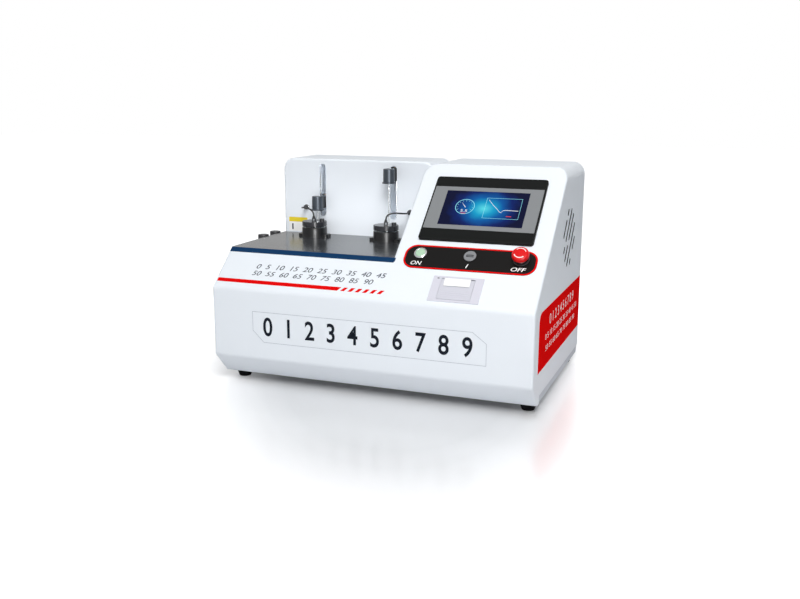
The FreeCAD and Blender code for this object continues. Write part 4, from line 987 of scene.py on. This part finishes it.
# %% Floor
def floor_finish():
    material, start = new_network("floor_white")
    place = start.node("TexCoord", output=3)
    squeezed = start.node("Mapping", {"vector_type": "TEXTURE"},
                          {"Vector": place, "Rotation": (0, 0, math.radians(CAMERA_YAW)),
                           "Scale": (0.8, 1.6, 1.0)})
    far = start.node("VectorMath", {"operation": "LENGTH"}, {0: squeezed}, 1)
    fade = start.node("MapRange", {}, {"Value": far, "From Min": 0.3, "From Max": 0.55,
                                       "To Min": 0.5, "To Max": 0.0})
    # Painted light and shade: one ramp with the distance sets the floor's camera-only glow, low near
    # the instrument and full far away.
    painted_light_ramp = start.node("MapRange", {}, {"Value": far, "From Min": 0.26, "From Max": 0.56,
                                       "To Min": 0.1, "To Max": 1.0})
    camera_ray = start.node("LightPath", output=0)
    soft = noise(start, 400.0, place)
    white = mix(start, soft, colour(240, 241, 242), colour(246, 246, 247))
    # Painted shade: the floor's colour is pale grey near the instrument and white far away.
    painted_shade_base = mix(start, painted_light_ramp, colour(228, 228, 229), white)
    sockets = {"Base Color": painted_shade_base, "Roughness": 0.9, "Specular IOR Level": 0.0,
               "Emission Color": mix(start, painted_light_ramp * camera_ray, (0.0, 0.0, 0.0, 1.0), white),
               "Emission Strength": 1.0}
    matt = start.node("BsdfPrincipled", {}, sockets)
    polished = start.node("BsdfAnisotropic", {}, {"Color": colour(255, 255, 255),
                                                  "Roughness": 0.24})
    output(start, start.node("MixShader", {}, {0: fade * camera_ray, 1: matt, 2: polished}))
    return material


ground_plane = bmesh.new()
bmesh.ops.create_grid(ground_plane, x_segments=8, y_segments=8, size=8.0)
bmesh.ops.translate(ground_plane, verts=ground_plane.verts, vec=(0, 0, solid_low.z))
floor_mesh = bpy.data.meshes.new("floor")
ground_plane.to_mesh(floor_mesh)
ground_plane.free()
floor_mesh.materials.append(floor_finish())
floor = bpy.data.objects.new("floor", floor_mesh)
bpy.context.scene.collection.objects.link(floor)
print("floor at", round(solid_low.z, 4))

# %% [markdown]
# Studio light for a white instrument needs pale surroundings that fill the shadows. The world is
# pure white to the camera, a little darker in reflections, and much weaker as a light, so that the
# housing's sides still differ in shade.

# %% World
world = bpy.data.worlds.new("studio")
world.use_nodes = True
world.node_tree.nodes.clear()
start = Wire(world.node_tree)
seen = start.node("LightPath", output=0)
mirrored = start.node("LightPath", output=3)
plain = start.sum("MAXIMUM", seen, mirrored)
FILL = 0.21
MIRRORED = 0.75
strength = seen * (1.0 - FILL) + mirrored * (MIRRORED - FILL) + FILL
tone = mix(start, plain, (0.9, 0.95, 1.0, 1.0), (1.0, 1.0, 1.0, 1.0))
sky = start.node("Background", {}, {"Color": tone, "Strength": strength})
start.node("OutputWorld", {}, {"Surface": sky})
bpy.context.scene.world = world
print("world gives", FILL, "of full light, and", MIRRORED, "of it in reflections")

# %% [markdown]
# Most of the light comes from one large soft lamp in front and above. A tall strip shows only as a
# highlight on round glossy parts, and a low wash lights the lift cabinet. Two tiny lamps inside the
# cabinet light the lift's frame, as it is seen through the slots.

# %% Lamps
def lamp(name, place, target, size, power, tint=(1.0, 1.0, 1.0), height=None):
    """A rectangular soft lamp at place that faces target, both points of the instrument."""
    data = bpy.data.lights.new(name, "AREA")
    data.shape = "RECTANGLE"
    data.size = size
    data.size_y = height or size
    data.energy = power
    data.color = tint
    holder = bpy.data.objects.new(name, data)
    towards = (target - place).to_track_quat("-Z", "Y")
    holder.matrix_world = Matrix.Translation(place) @ towards.to_matrix().to_4x4()
    bpy.context.scene.collection.objects.link(holder)
    print(name, "at", [round(value, 2) for value in place])
    return holder


MIDDLE = at(285, 190, 180)
KEY_TURN, KEY_RISE, KEY_AWAY = math.radians(23), math.radians(51), 2.6
key_place = MIDDLE + KEY_AWAY * Vector((math.sin(KEY_TURN) * math.cos(KEY_RISE),
                                        -math.cos(KEY_TURN) * math.cos(KEY_RISE),
                                        math.sin(KEY_RISE)))
lamp("key", key_place, MIDDLE, 1.3, 58, tint=(1.0, 0.985, 0.965))
STRIP_TURN, STRIP_AWAY, STRIP_RISE = math.radians(26), 2.6, 0.16
strip_place = MIDDLE + STRIP_AWAY * Vector((math.sin(STRIP_TURN), -math.cos(STRIP_TURN), STRIP_RISE))
strip = lamp("strip", strip_place, MIDDLE, 0.26, 60, height=1.0)
strip.visible_diffuse = False
STATION_XS = (81.3, 229.4)
for station_x in STATION_XS:
    lamp("inside_cabinet", at(station_x - 20, 281, 305), at(station_x + 2, 300, 305), 0.006, 0.06,
         height=0.1)
wash = lamp("wash", at(150, 176, 270), at(150, 276, 222), 0.28, 0.07, height=0.03)
wash.visible_glossy = False
bpy.context.scene.view_settings.view_transform = "Standard"
